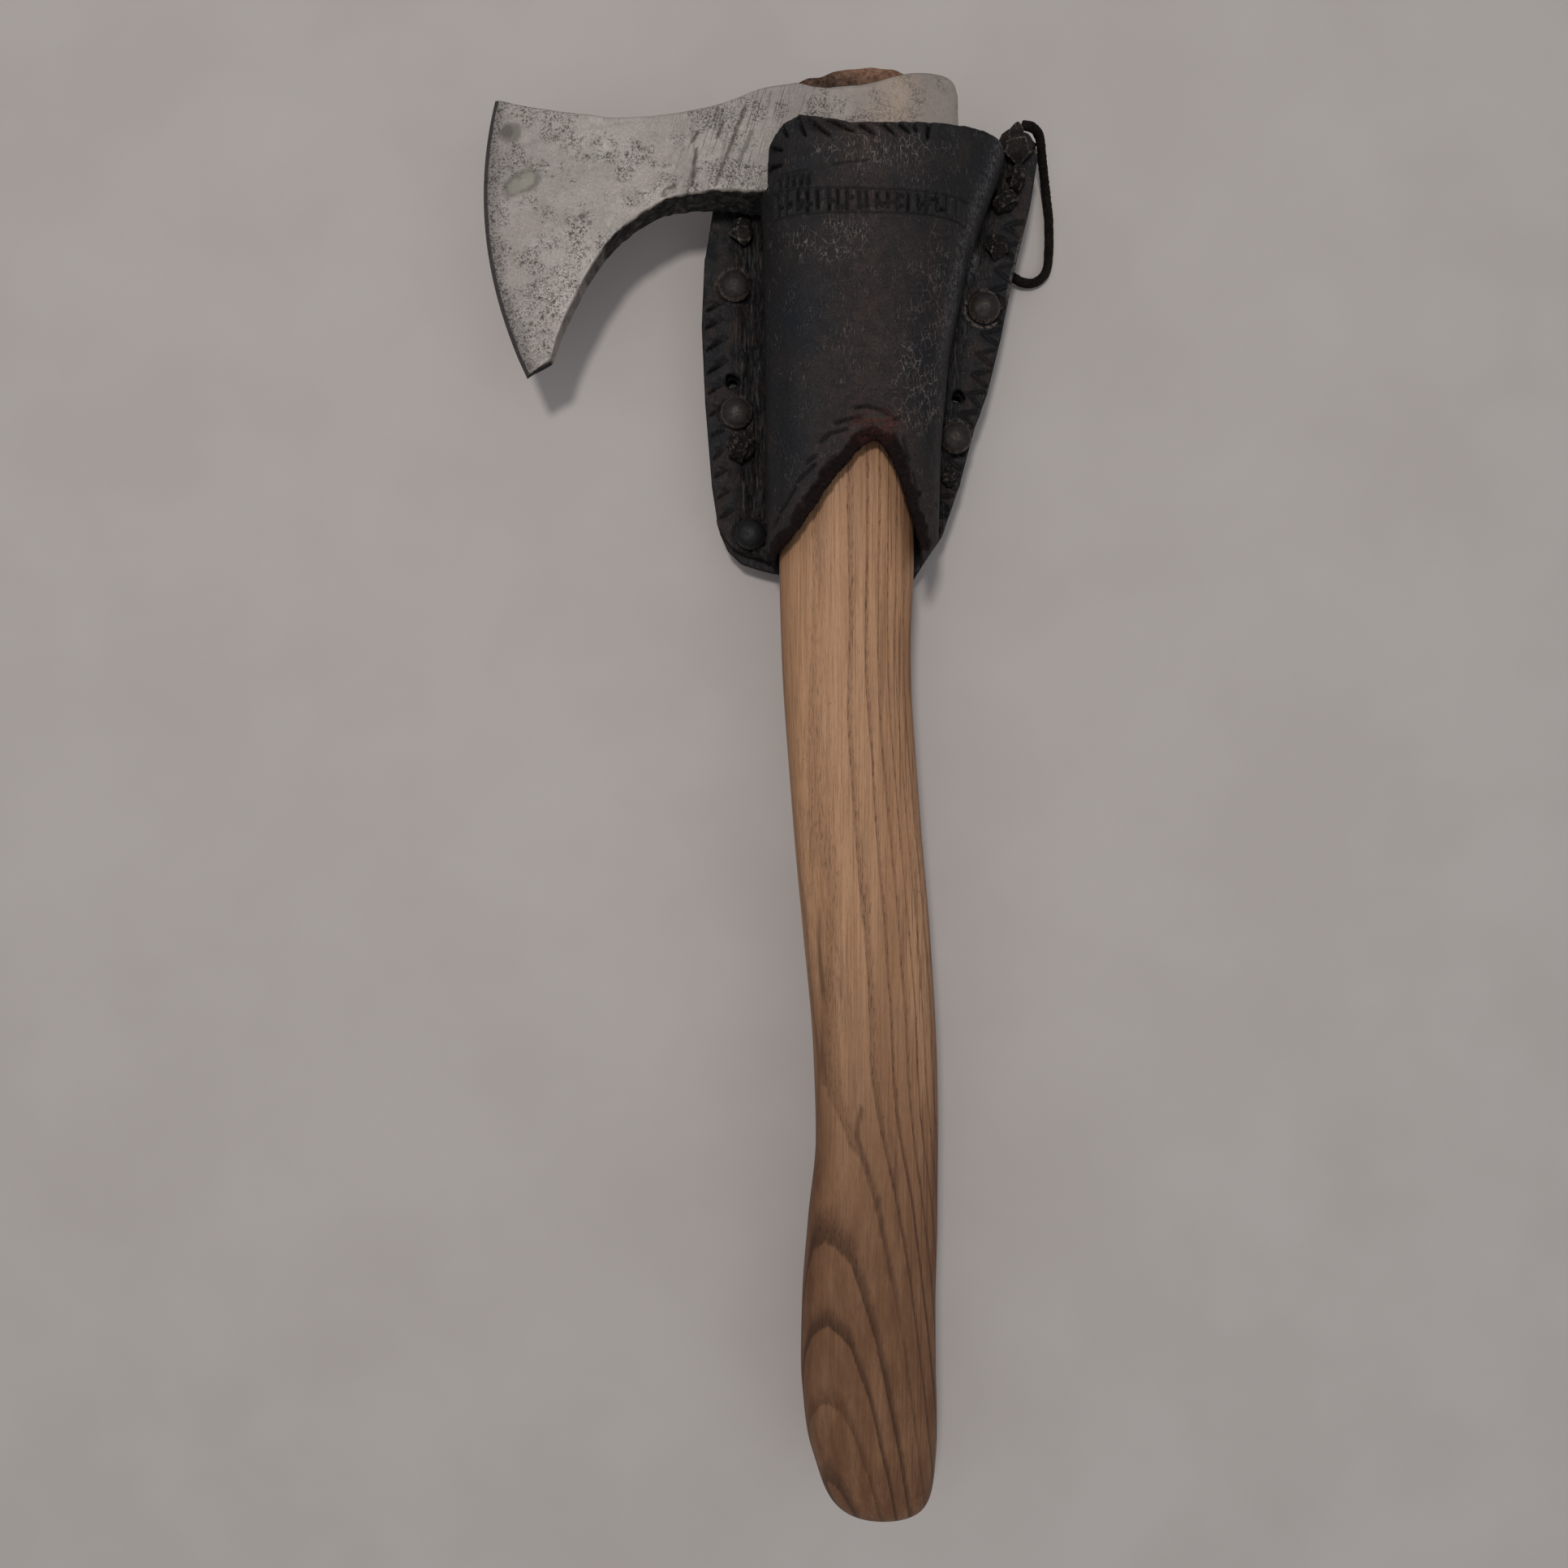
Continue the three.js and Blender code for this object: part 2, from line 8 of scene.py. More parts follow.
import bmesh
import bpy
import numpy as np
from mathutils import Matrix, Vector


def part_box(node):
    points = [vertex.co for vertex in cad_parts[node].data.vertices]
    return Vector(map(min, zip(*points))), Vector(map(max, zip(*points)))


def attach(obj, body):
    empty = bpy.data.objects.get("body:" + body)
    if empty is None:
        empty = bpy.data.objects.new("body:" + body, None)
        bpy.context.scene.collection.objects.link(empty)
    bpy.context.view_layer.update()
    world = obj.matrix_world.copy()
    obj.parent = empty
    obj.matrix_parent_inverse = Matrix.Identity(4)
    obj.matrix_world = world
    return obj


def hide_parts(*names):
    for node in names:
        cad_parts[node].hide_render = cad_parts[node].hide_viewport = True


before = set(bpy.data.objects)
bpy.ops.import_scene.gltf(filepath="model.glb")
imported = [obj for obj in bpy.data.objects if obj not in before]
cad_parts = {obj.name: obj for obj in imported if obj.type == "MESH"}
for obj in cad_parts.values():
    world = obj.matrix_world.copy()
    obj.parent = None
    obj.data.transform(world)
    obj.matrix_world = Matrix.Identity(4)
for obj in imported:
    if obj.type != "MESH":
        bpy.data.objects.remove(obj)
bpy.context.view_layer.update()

# ---------------------------------------------------------------- driving dimensions, in millimetres

MM = 0.001
LEATHER = 2.6  # thickness of every sheet of holster leather
GAP = 0.25  # clearance between pieces that lie on each other
BACK_BOTTOM = 7.8  # underside of the back panel, above the belt loop
BACK_TOP = BACK_BOTTOM + LEATHER
FLANGE_BOTTOM = BACK_TOP + LEATHER + 2 * GAP
FLANGE_TOP = FLANGE_BOTTOM + LEATHER
AXE_Z = 26.0  # plane that halves the blade and the haft
CREST = 41.9  # underside of the moulded panel at its highest line
UNDER_NECK = 36.5  # height of the free edge where the blade leaves the sleeve
CORD_DIAMETER = 3.0

CAMERA_AT = (-20, 223, 371)
CAMERA_LENS = 26.09  # with the default 36 mm sensor

LOOP_CORNER = (-23, 296)  # lower left corner of the belt loop
loop_low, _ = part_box("belt_loop")
LAYOUT = np.array([loop_low.x - LOOP_CORNER[0] * MM, loop_low.y - LOOP_CORNER[1] * MM, 0.0])


def in_frame(points):
    """Layout millimetres to metres in the row frame."""
    return np.asarray(points, float) * MM + LAYOUT


# ---------------------------------------------------------------- numbers and noise


def step(low, high, values):
    """0 below low, 1 above high, and smooth between; low may be the larger."""
    t = np.clip((np.asarray(values, float) - low) / (high - low), 0, 1)
    return t * t * (3 - 2 * t)


def power(values, exponent):
    return np.sign(values) * np.abs(values) ** exponent


def round_turn(count):
    """Angles spaced evenly round a full turn."""
    return np.linspace(0, 2 * math.pi, count, endpoint=False)


def smooth_line(stations, values, at):
    """Monotone cubic through (stations, values), which never overshoots."""
    x, y = np.asarray(stations, float), np.asarray(values, float)
    run, slope = np.diff(x), np.diff(y) / np.diff(x)
    tangent = np.empty_like(y)
    tangent[0], tangent[-1] = slope[0], slope[-1]
    same_way = slope[:-1] * slope[1:] > 0
    harmonic = 2 * slope[:-1] * slope[1:] / np.where(same_way, slope[:-1] + slope[1:], 1)
    tangent[1:-1] = np.where(same_way, harmonic, 0)
    at = np.clip(at, x[0], x[-1])
    i = np.clip(np.searchsorted(x, at) - 1, 0, len(run) - 1)
    t = (at - x[i]) / run[i]
    rise = (1 + 2 * t) * (1 - t) ** 2 * y[i] + t**2 * (3 - 2 * t) * y[i + 1]
    return rise + run[i] * (t * (1 - t) ** 2 * tangent[i] - t**2 * (1 - t) * tangent[i + 1])


def noise(points, size, seed):
    """Smooth value noise from -1 to 1; size is that of a lump, in millimetres, one number or three."""
    p = np.asarray(points, float) / size + 31.7 * (seed + 1)
    cell = np.floor(p).astype(np.int64)
    t = p - cell
    t = t * t * (3 - 2 * t)
    total = np.zeros(len(p))
    for corner in np.ndindex(2, 2, 2):
        at = cell + corner
        key = (at[:, 0] * 73856093) ^ (at[:, 1] * 19349663) ^ (at[:, 2] * 83492791)
        key = (key ^ (key >> 13)) * 1274126177
        value = ((key ^ (key >> 16)) & 65535) / 32767.5 - 1
        total += value * np.prod(np.where(corner, t, 1 - t), axis=1)
    return total


def fractal(points, size, seed, octaves=3):
    """Noise with finer noise on it."""
    size = np.asarray(size, float)
    return sum(noise(points, size / 2**k, seed + 7 * k) / 2**k for k in range(octaves))


def distance_to(points, at):
    """Distance in x and y from each point to one place."""
    return np.hypot(points[:, 0] - at[0], points[:, 1] - at[1])


def distance_to_line(points, corners):
    """Distance in x and y from each point to a line through corners."""
    p = np.asarray(points)[:, None, :2]
    corners = np.asarray(corners, float)[:, :2]
    start, way = corners[:-1], np.diff(corners, axis=0)
    along = np.sum((p - start) * way, axis=2) / np.sum(way**2, axis=1)
    foot = start + np.clip(along, 0, 1)[..., None] * way
    return np.sqrt(np.sum((p - foot) ** 2, axis=2)).min(axis=1)


def curve_through(points, steps):
    """Catmull-Rom curve through points, with that many steps between each two."""
    p = np.asarray(points, float)
    p = np.vstack([2 * p[0] - p[1], p, 2 * p[-1] - p[-2]])
    t = np.linspace(0, 1, steps, endpoint=False)[:, None]
    pieces = []
    for a, b, c, d in zip(p, p[1:], p[2:], p[3:]):
        pieces.append(
            0.5 * (2 * b + (c - a) * t + (2 * a - 5 * b + 4 * c - d) * t**2 + (3 * b - a - 3 * c + d) * t**3)
        )
    return np.vstack([*pieces, p[-2:-1]])


# ---------------------------------------------------------------- mesh building


def placed(name, data):
    """A new object in the scene."""
    made = bpy.data.objects.new(name, data)
    bpy.context.scene.collection.objects.link(made)
    return made


def mesh_object(name, points, faces):
    """An object from layout points, with its faces turned outwards."""
    mesh = bpy.data.meshes.new(name)
    mesh.from_pydata(in_frame(points).tolist(), [], [list(map(int, face)) for face in faces])
    piece = placed(name, mesh)
    face_outwards(piece)
    return piece


def face_outwards(piece):
    work = bmesh.new()
    work.from_mesh(piece.data)
    bmesh.ops.recalc_face_normals(work, faces=work.faces)
    work.to_mesh(piece.data)
    work.free()


def shade(piece, sharp_angle=40):
    """Smooth shading, with edges sharper than the angle left crisp."""
    work = bmesh.new()
    work.from_mesh(piece.data)
    for face in work.faces:
        face.smooth = True
    for edge in work.edges:
        edge.smooth = edge.calc_face_angle(0) < math.radians(sharp_angle)
    work.to_mesh(piece.data)
    work.free()
    return piece


def loft(name, rings, ring_loop=False):
    """A closed skin over rings, an array of rings by points by 3; ring_loop joins the last to the first."""
    rings = np.asarray(rings, float)
    count, around = rings.shape[:2]
    index = np.arange(count * around).reshape(count, around)
    faces = []
    for i in range(count if ring_loop else count - 1):
        here, there = index[i], index[(i + 1) % count]
        for j in range(around):
            k = (j + 1) % around
            faces.append((here[j], here[k], there[k], there[j]))
    points = rings.reshape(-1, 3)
    if not ring_loop:
        faces += [tuple(index[0][::-1]), tuple(index[-1])]
    return mesh_object(name, points, faces)


def lathe(name, profile, at, segments=48):
    """Turns a profile of [radius, z] about an upright axis; it starts and ends on the axis, or closes."""
    x, y = at
    angles = round_turn(segments)
    points, faces, rows = [], [], []
    for radius, z in profile:
        if radius < 1e-6:
            rows.append([len(points)] * segments)
            points.append((x, y, z))
        else:
            rows.append(list(range(len(points), len(points) + segments)))
            points += [(x + radius * math.cos(a), y + radius * math.sin(a), z) for a in angles]
    pairs = list(zip(rows, rows[1:]))
    if profile[0][0] > 1e-6:
        pairs.append((rows[-1], rows[0]))
    for low, high in pairs:
        for j in range(segments):
            k = (j + 1) % segments
            corners = dict.fromkeys((low[j], low[k], high[k], high[j]))
            if len(corners) > 2:
                faces.append(tuple(corners))
    return mesh_object(name, points, faces)


def prism(name, outline, bottom, top):
    """A flat solid over an outline of [x, y]."""
    outline = np.asarray(outline, float)
    rings = [np.column_stack([outline, np.full(len(outline), z)]) for z in (bottom, top)]
    return loft(name, rings)


def tube(name, path, radius, sides=12):
    """A tube of round section along path; radius is a number, or a function of (place 0..1, angle)."""
    path = np.asarray(path, float)
    way = np.gradient(path, axis=0)
    way /= np.linalg.norm(way, axis=1, keepdims=True)
    angles = round_turn(sides)
    side = np.cross(way[0], (0.31, 0.17, 0.94))
    rings = []
    for place, (centre, forward) in enumerate(zip(path, way)):
        side = side - forward * side.dot(forward)
        side /= np.linalg.norm(side)
        up = np.cross(forward, side)
        reach = radius(place / (len(path) - 1), angles) if callable(radius) else np.full(sides, radius)
        out = np.cos(angles)[:, None] * side + np.sin(angles)[:, None] * up
        rings.append(centre + reach[:, None] * out)
    return loft(name, rings)


def ribbon(name, path, up, width, thickness):
    """A strap of rounded section along path; up points out of its face at every step."""
    path, up = np.asarray(path, float), np.asarray(up, float)
    way = np.gradient(path, axis=0)
    across = np.cross(way, up)
    across /= np.linalg.norm(across, axis=1, keepdims=True)
    up = np.cross(across, way)
    up /= np.linalg.norm(up, axis=1, keepdims=True)
    angles = round_turn(20)
    wide = power(np.cos(angles), 0.5) * width / 2
    thick = power(np.sin(angles), 0.8) * thickness / 2
    rings = path[:, None] + wide[None, :, None] * across[:, None] + thick[None, :, None] * up[:, None]
    return loft(name, rings)


def applied(piece, kind, **settings):
    """Runs one modifier on a piece and keeps its result."""
    modifier = piece.modifiers.new(kind, kind)
    for key, value in settings.items():
        setattr(modifier, key, value)
    graph = bpy.context.evaluated_depsgraph_get()
    result = bpy.data.meshes.new_from_object(piece.evaluated_get(graph))
    piece.modifiers.clear()
    old, piece.data = piece.data, result
    bpy.data.meshes.remove(old)
    return piece


def combine(piece, other, operation):
    """Boolean with a helper object, which is used up."""
    applied(piece, "BOOLEAN", operation=operation, object=other, solver="EXACT")
    discard(other)
    return piece


def discard(piece):
    mesh = piece.data
    bpy.data.objects.remove(piece)
    bpy.data.meshes.remove(mesh)


def join(pieces):
    """One object of several; the first keeps its name."""
    bpy.ops.object.select_all(action="DESELECT")
    for piece in pieces:
        piece.select_set(True)
    bpy.context.view_layer.objects.active = pieces[0]
    bpy.ops.object.join()
    return pieces[0]


def remesh(piece, voxel):
    return applied(piece, "REMESH", mode="VOXEL", voxel_size=voxel * MM, adaptivity=0)


def points_of(piece):
    """The piece's points in layout millimetres."""
    flat = np.empty(3 * len(piece.data.vertices))
    piece.data.vertices.foreach_get("co", flat)
    return (flat.reshape(-1, 3) - LAYOUT) / MM


def normals_of(piece):
    flat = np.empty(3 * len(piece.data.vertices))
    piece.data.vertices.foreach_get("normal", flat)
    return flat.reshape(-1, 3)


def move_points(piece, points):
    piece.data.vertices.foreach_set("co", in_frame(points).ravel())
    piece.data.update()


def swell(piece, amount):
    """Moves each point along its normal by its own amount, in millimetres."""
    move_points(piece, points_of(piece) + normals_of(piece) * np.asarray(amount)[:, None])


def edge_ends(piece):
    """Two arrays: the point at each end of every edge."""
    edges = np.empty(2 * len(piece.data.edges), np.int64)
    piece.data.edges.foreach_get("vertices", edges)
    return edges.reshape(-1, 2).T


def neighbour_mean(points, ends):
    """The mean of the neighbours of each point."""
    a, b = ends
    count = np.bincount(a, minlength=len(points)) + np.bincount(b, minlength=len(points))
    total = np.empty_like(points)
    for k in range(3):
        total[:, k] = np.bincount(a, points[b, k], len(points)) + np.bincount(b, points[a, k], len(points))
    return total / count[:, None]


def relax(piece, rounds, share=0.5, where=None):
    """Evens a mesh out: each round moves a point part of the way to the mean of its neighbours."""
    ends = edge_ends(piece)
    points = points_of(piece)
    weight = share * (np.ones(len(points)) if where is None else where)
    for _ in range(rounds):
        points += (neighbour_mean(points, ends) - points) * weight[:, None]
    move_points(piece, points)
    return piece


def ridges(piece):
    """How far each point stands out from its neighbours, in millimetres."""
    points = points_of(piece)
    return np.sum((points - neighbour_mean(points, edge_ends(piece))) * normals_of(piece), axis=1)


def store(piece, name, values):
    """Keeps a number per point, which a material can read."""
    layer = piece.data.attributes.new(name, "FLOAT", "POINT")
    layer.data.foreach_set("value", np.asarray(values, np.float32))


def finish_piece(piece, body, slot, material, *replaced):
    """Puts a piece on its body, in place of its CAD nodes, with its material."""
    piece.data.materials.clear()
    piece.data.materials.append(material)
    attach(piece, body)
    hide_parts(*replaced)
    return piece


# ---------------------------------------------------------------- materials


class Shader:
    """A material's node tree, with short calls for the nodes that it is made of."""

    def __init__(self, name, roughness=0.5, metallic=0.0, specular=0.5):
        self.material = bpy.data.materials.new(name)
        self.material.use_nodes = True
        self.tree = self.material.node_tree
        self.surface = self.tree.nodes["Principled BSDF"]
        self.surface.inputs["Roughness"].default_value = roughness
        self.surface.inputs["Metallic"].default_value = metallic
        self.surface.inputs["Specular IOR Level"].default_value = specular
        place = self.node("TexCoord")
        moved = self.node("VectorMath", {0: place.outputs["Object"], 1: tuple(LAYOUT)}, operation="SUBTRACT")
        scaled = self.node("VectorMath", {0: moved.outputs[0], "Scale": 1 / MM}, operation="SCALE")
        self.place = scaled.outputs[0]  # layout millimetres
        self.colour = None  # what is painted so far

    def node(self, kind, inputs=(), **settings):
        made = self.tree.nodes.new("ShaderNode" + kind)
        for key, value in settings.items():
            setattr(made, key, value)
        for key, value in dict(inputs).items():
            self.put(made.inputs[key], value)
        return made

    def put(self, socket, value):
        if isinstance(value, bpy.types.NodeSocket):
            self.tree.links.new(value, socket)
        else:
            socket.default_value = value

    def math(self, operation, *values):
        return self.node("Math", dict(enumerate(values)), operation=operation).outputs[0]

    def add(self, a, b):
        return self.math("ADD", a, b)

    def times(self, a, b):
        return self.math("MULTIPLY", a, b)

    def larger(self, a, b):
        return self.math("MAXIMUM", a, b)

    def step(self, value, low, high, to_low=0.0, to_high=1.0):
        """Smooth step from low to high."""
        inputs = {"Value": value, "From Min": low, "From Max": high, "To Min": to_low, "To Max": to_high}
        return self.node("MapRange", inputs, interpolation_type="SMOOTHSTEP").outputs[0]

    def mix(self, share, a, b):
        """Colour a, towards colour b by share."""
        a, b = [(*c, 1) if isinstance(c, tuple) else c for c in (a, b)]
        return self.node("Mix", {0: share, 6: a, 7: b}, data_type="RGBA").outputs[2]

    def paint(self, share, colour):
        """Lays a colour over what is painted so far, by share."""
        self.colour = self.mix(share, self.colour, colour)

    def darken(self, share, factor):
        """Multiplies what is painted so far by factor, where share is 1."""
        inputs = {0: share, 6: self.colour, 7: (factor, factor, factor, 1)}
        self.colour = self.node("Mix", inputs, data_type="RGBA", blend_type="MULTIPLY").outputs[2]

    def sized(self, size, turn=0.0, vector=None):
        """Coordinates in which one unit is size millimetres, turned about z by turn degrees first."""
        place = self.place if vector is None else vector
        if turn:
            inputs = {"Vector": place, "Angle": math.radians(turn)}
            place = self.node("VectorRotate", inputs, rotation_type="Z_AXIS").outputs[0]
        size = size if isinstance(size, tuple) else (size,) * 3
        inputs = {0: place, 1: tuple(1 / s for s in size)}
        return self.node("VectorMath", inputs, operation="MULTIPLY").outputs[0]

    def noise(self, size, detail=3.0, roughness=0.55, distortion=0.0, turn=0.0):
        inputs = {
            "Vector": self.sized(size, turn),
            "Scale": 1.0,
            "Detail": detail,
            "Roughness": roughness,
            "Distortion": distortion,
        }
        return self.node("TexNoise", inputs).outputs[0]

    def cells(self, size, feature="F1", vector=None):
        inputs = {"Vector": self.sized(size, vector=vector), "Scale": 1.0}
        return self.node("TexVoronoi", inputs, feature=feature).outputs["Distance"]

    def warped(self, size, amount):
        """Coordinates in millimetres, stirred by noise."""
        colour = self.node("TexNoise", {"Vector": self.sized(size), "Scale": 1.0, "Detail": 2.0}).outputs[1]
        centred = self.node("VectorMath", {0: colour, 1: (0.5, 0.5, 0.5)}, operation="SUBTRACT").outputs[0]
        offset = self.node("VectorMath", {0: centred, "Scale": 2 * amount}, operation="SCALE").outputs[0]
        return self.node("VectorMath", {0: self.place, 1: offset}, operation="ADD").outputs[0]

    def stored(self, name):
        return self.node("Attribute", attribute_name=name).outputs["Fac"]

    def finish(self, roughness=None, height=None):
        """The material, with its colour, roughness and bumps; height is in millimetres."""
        self.put(self.surface.inputs["Base Color"], self.colour)
        if roughness is not None:
            self.put(self.surface.inputs["Roughness"], roughness)
        if height is not None:
            bump = self.node("Bump", {"Strength": 1.0, "Distance": MM, "Height": height})
            self.put(self.surface.inputs["Normal"], bump.outputs[0])
        return self.material


# Marks painted over the patina, from the lowest to the topmost.
STEEL_MARKS = {
    "eye_wall": (0.20, 0.158, 0.13),
    # warm: a painted highlight on the upper side of the eye's bulge
    "warm": (0.42, 0.32, 0.24),
    "film": (0.285, 0.268, 0.22),
    "stain": (0.075, 0.064, 0.052),
    # bevel: painted shade on the narrow bevel along the cutting edge
    "bevel": (0.05, 0.043, 0.04),
}


def steel_material():
    """Forged steel: a grey patina with brown pits in drifts, short curved tracks and scratches."""
    s = Shader("forged_steel", metallic=0.3, specular=0.35)
    # The patina: two greys in broad patches, with smaller dull and greenish ones.
    s.colour = s.mix(s.step(s.noise(30.0, 2), 0.35, 0.68), (0.355, 0.313, 0.288), (0.445, 0.397, 0.367))
    s.paint(s.step(s.noise(4.0, 5, 0.7), 0.3, 0.7, 0.0, 0.3), (0.22, 0.185, 0.165))
    green = s.step(s.noise((12.0, 9.0, 12.0), 3, 0.6, 0.8), 0.5, 0.68, 0.0, 0.4)
    s.paint(green, (0.29, 0.285, 0.245))
    # Short curved tracks: brown all over, dark in drifts and beside the cutting edge.
    drift = s.step(s.noise(9.0, 4, 0.65), 0.48, 0.6, 0.14, 0.9)
    drift = s.larger(drift, s.times(s.stored("pitted"), s.step(s.noise(3.5, 3), 0.35, 0.6)))
    drift = s.larger(drift, s.stored("edge_band"))
    tracks = None
    for size, width in ((2.3, 0.03), (1.1, 0.045)):
        off_level = s.math("ABSOLUTE", s.add(s.noise(size, 2, 0.5, 1.2), -0.5))
        worm = s.times(s.step(off_level, width, 0.3 * width), s.step(s.noise(0.6 * size, 1), 0.5, 0.6))
        tracks = worm if tracks is None else s.larger(tracks, worm)
    tracks = s.times(tracks, drift)
    s.paint(s.times(tracks, 0.9), (0.065, 0.048, 0.036))
    # Fine dark and light grain, and yellowed patches.
    grained = s.step(s.noise(0.6, 4, 0.75), 0.5, 0.6, 0.0, 0.22)
    s.paint(s.times(grained, s.step(s.noise(8.0, 2), 0.35, 0.6, 0.3, 1.0)), (0.15, 0.125, 0.11))
    light_grain = s.step(s.noise(0.7, 4, 0.75), 0.57, 0.66, 0.0, 0.4)
    s.paint(light_grain, (0.56, 0.5, 0.46))
    yellow = s.times(s.step(s.noise(3.2, 4, 0.7, 1.5), 0.56, 0.66), s.step(s.noise(16.0, 2), 0.45, 0.6))
    s.paint(s.times(yellow, 0.4), (0.26, 0.19, 0.12))
    # Pits: big ones, small ones and specks, all where the drifts are.
    stirred = s.warped(0.8, 0.45)
    big = s.times(s.step(s.cells(1.9, vector=stirred), 0.3, 0.2), s.step(s.noise(1.5, 1), 0.46, 0.51))
    small = s.times(s.step(s.cells(0.9, vector=stirred), 0.36, 0.24), s.step(s.noise(0.9, 1), 0.48, 0.53))
    specks = s.step(s.noise(0.6, 3, 0.7), 0.6, 0.66)
    dark = s.larger(s.times(big, 0.8), s.larger(s.times(small, 0.75), s.times(specks, 0.85)))
    dark = s.times(dark, drift)
    s.paint(dark, (0.034, 0.026, 0.021))
    s.paint(s.times(s.stored("edge_band"), 0.35), (0.06, 0.05, 0.044))
    # Scratches, gouges and fine parallel lines.
    scratches = s.step(s.noise((0.3, 9.0, 9.0), 2, 0.5, 0.0, 17), 0.6, 0.68, 0.0, 0.7)
    lines = s.larger(s.times(scratches, s.stored("scoured")), s.stored("gouge"))
    s.paint(s.times(lines, 0.9), (0.05, 0.042, 0.035))
    fine = s.step(s.noise((3.0, 0.12, 9.0), 2, 0.5, 0.0, -20), 0.6, 0.75, 0.0, 0.15)
    s.paint(fine, (0.14, 0.12, 0.11))
    s.paint(s.times(s.stored("scoured"), 0.15), (0.16, 0.14, 0.125))
    # Of these marks, warm is a painted highlight and bevel is painted shade.
    for mask, tone in STEEL_MARKS.items():
        s.paint(s.stored(mask), tone)
    # The narrow lower and upper faces kept the dark scale of the forge; they are darkened further with
    # painted shade, as they turn away from the light.
    scale = s.step(s.noise(2.2, 4, 0.65), 0.28, 0.62, 0.75, 1.0)
    s.paint(s.times(s.stored("forge_scale_and_shade"), scale), (0.011, 0.0098, 0.0088))
    s.paint(s.times(s.stored("arris"), 0.6), (0.42, 0.36, 0.31))
    roughness = s.step(s.noise(5.0, 4, 0.6), 0.3, 0.7, 0.48, 0.6)
    roughness = s.add(roughness, s.times(s.larger(dark, s.stored("forge_scale_and_shade")), 0.25))
    height = s.add(s.times(s.larger(dark, tracks), -0.14), s.times(lines, -0.08))
    height = s.add(height, s.times(s.noise(1.2, 4, 0.6), 0.07))
    height = s.add(height, s.times(s.noise(7.0, 2), 0.25))
    return s.finish(roughness, height)


def wood_material():
    """Ash: growth rings cut lengthways, rows of pores along them, hand dirt towards the butt, and painted
    shade on the sides of the haft.
    """
    s = Shader("ash_wood", roughness=0.6, specular=0.25)
    count = s.add(s.stored("rings"), s.add(-0.06, s.times(s.noise((1.2, 18.0, 3.0), 3, 0.6), 0.12)))
    ring, year = s.math("FRACT", count), s.math("FLOOR", count)
    luck = s.node("TexWhiteNoise", {"W": year}, noise_dimensions="1D").outputs["Value"]
    early = s.times(s.step(ring, 0.0, 0.05), s.step(ring, 0.36, 0.07))
    early = s.times(early, s.step(luck, 0.0, 1.0, 0.45, 1.0))
    fine = s.noise((0.45, 38.0, 0.45), 4, 0.65)
    broad = s.noise((6.0, 140.0, 9.0), 2)
    s.colour = s.mix(s.step(broad, 0.3, 0.7), (0.36, 0.186, 0.095), (0.47, 0.262, 0.142))
    s.paint(s.times(early, 0.7), (0.17, 0.075, 0.037))
    s.paint(s.step(fine, 0.42, 0.68, 0.0, 0.6), (0.21, 0.105, 0.055))
    pores = s.step(s.noise((0.2, 3.6, 0.2), 2, 0.5), 0.57, 0.66)
    pores = s.times(pores, s.add(s.times(early, 0.9), 0.22))
    s.paint(s.times(pores, 0.85), (0.085, 0.043, 0.022))
    # Dark streaks, mostly on the right half: grain streaks with painted shade on the side away from the
    # light.
    streaks = s.times(s.step(s.noise((0.9, 60.0, 0.9), 3, 0.6), 0.5, 0.66), s.stored("shaded_side"))
    s.paint(s.times(streaks, 0.75), (0.15, 0.07, 0.035))
    s.paint(s.times(s.stored("seam"), 0.8), (0.06, 0.03, 0.018))
    flecks = s.times(s.step(s.cells(6.5), 0.05, 0.03), s.step(s.noise(9.0, 1), 0.5, 0.6))
    s.paint(s.times(flecks, 0.7), (0.06, 0.035, 0.02))
    mottle = s.step(s.noise((4.5, 16.0, 4.5), 4, 0.65), 0.25, 0.7, 0.72, 1.0)
    # Hand dirt towards the butt and the knob, and painted shade where the haft's sides turn away from the
    # top.
    s.paint(s.times(s.stored("grime_and_shade"), mottle), (0.09, 0.034, 0.013))
    s.darken(s.times(early, s.stored("grime_and_shade")), 0.5)
    oiled = s.mix(s.step(s.noise(2.4, 4, 0.65), 0.35, 0.65), (0.10, 0.048, 0.028), (0.27, 0.145, 0.088))
    s.paint(s.stored("proud_end"), oiled)
    roughness = s.step(s.noise((3.0, 18.0, 3.0), 3), 0.3, 0.7, 0.5, 0.66)
    roughness = s.add(roughness, s.times(s.stored("proud_end"), -0.15))
    height = s.add(s.times(pores, -0.1), s.times(early, -0.06))
    height = s.add(height, s.times(fine, 0.06))
    return s.finish(roughness, height)


BLACK_TONES = ((0.0125, 0.011, 0.011), (0.0085, 0.0095, 0.0125), (0.022, 0.0155, 0.013))
WELT_TONES = ((0.02, 0.014, 0.012), (0.013, 0.010, 0.009), (0.034, 0.02, 0.015))


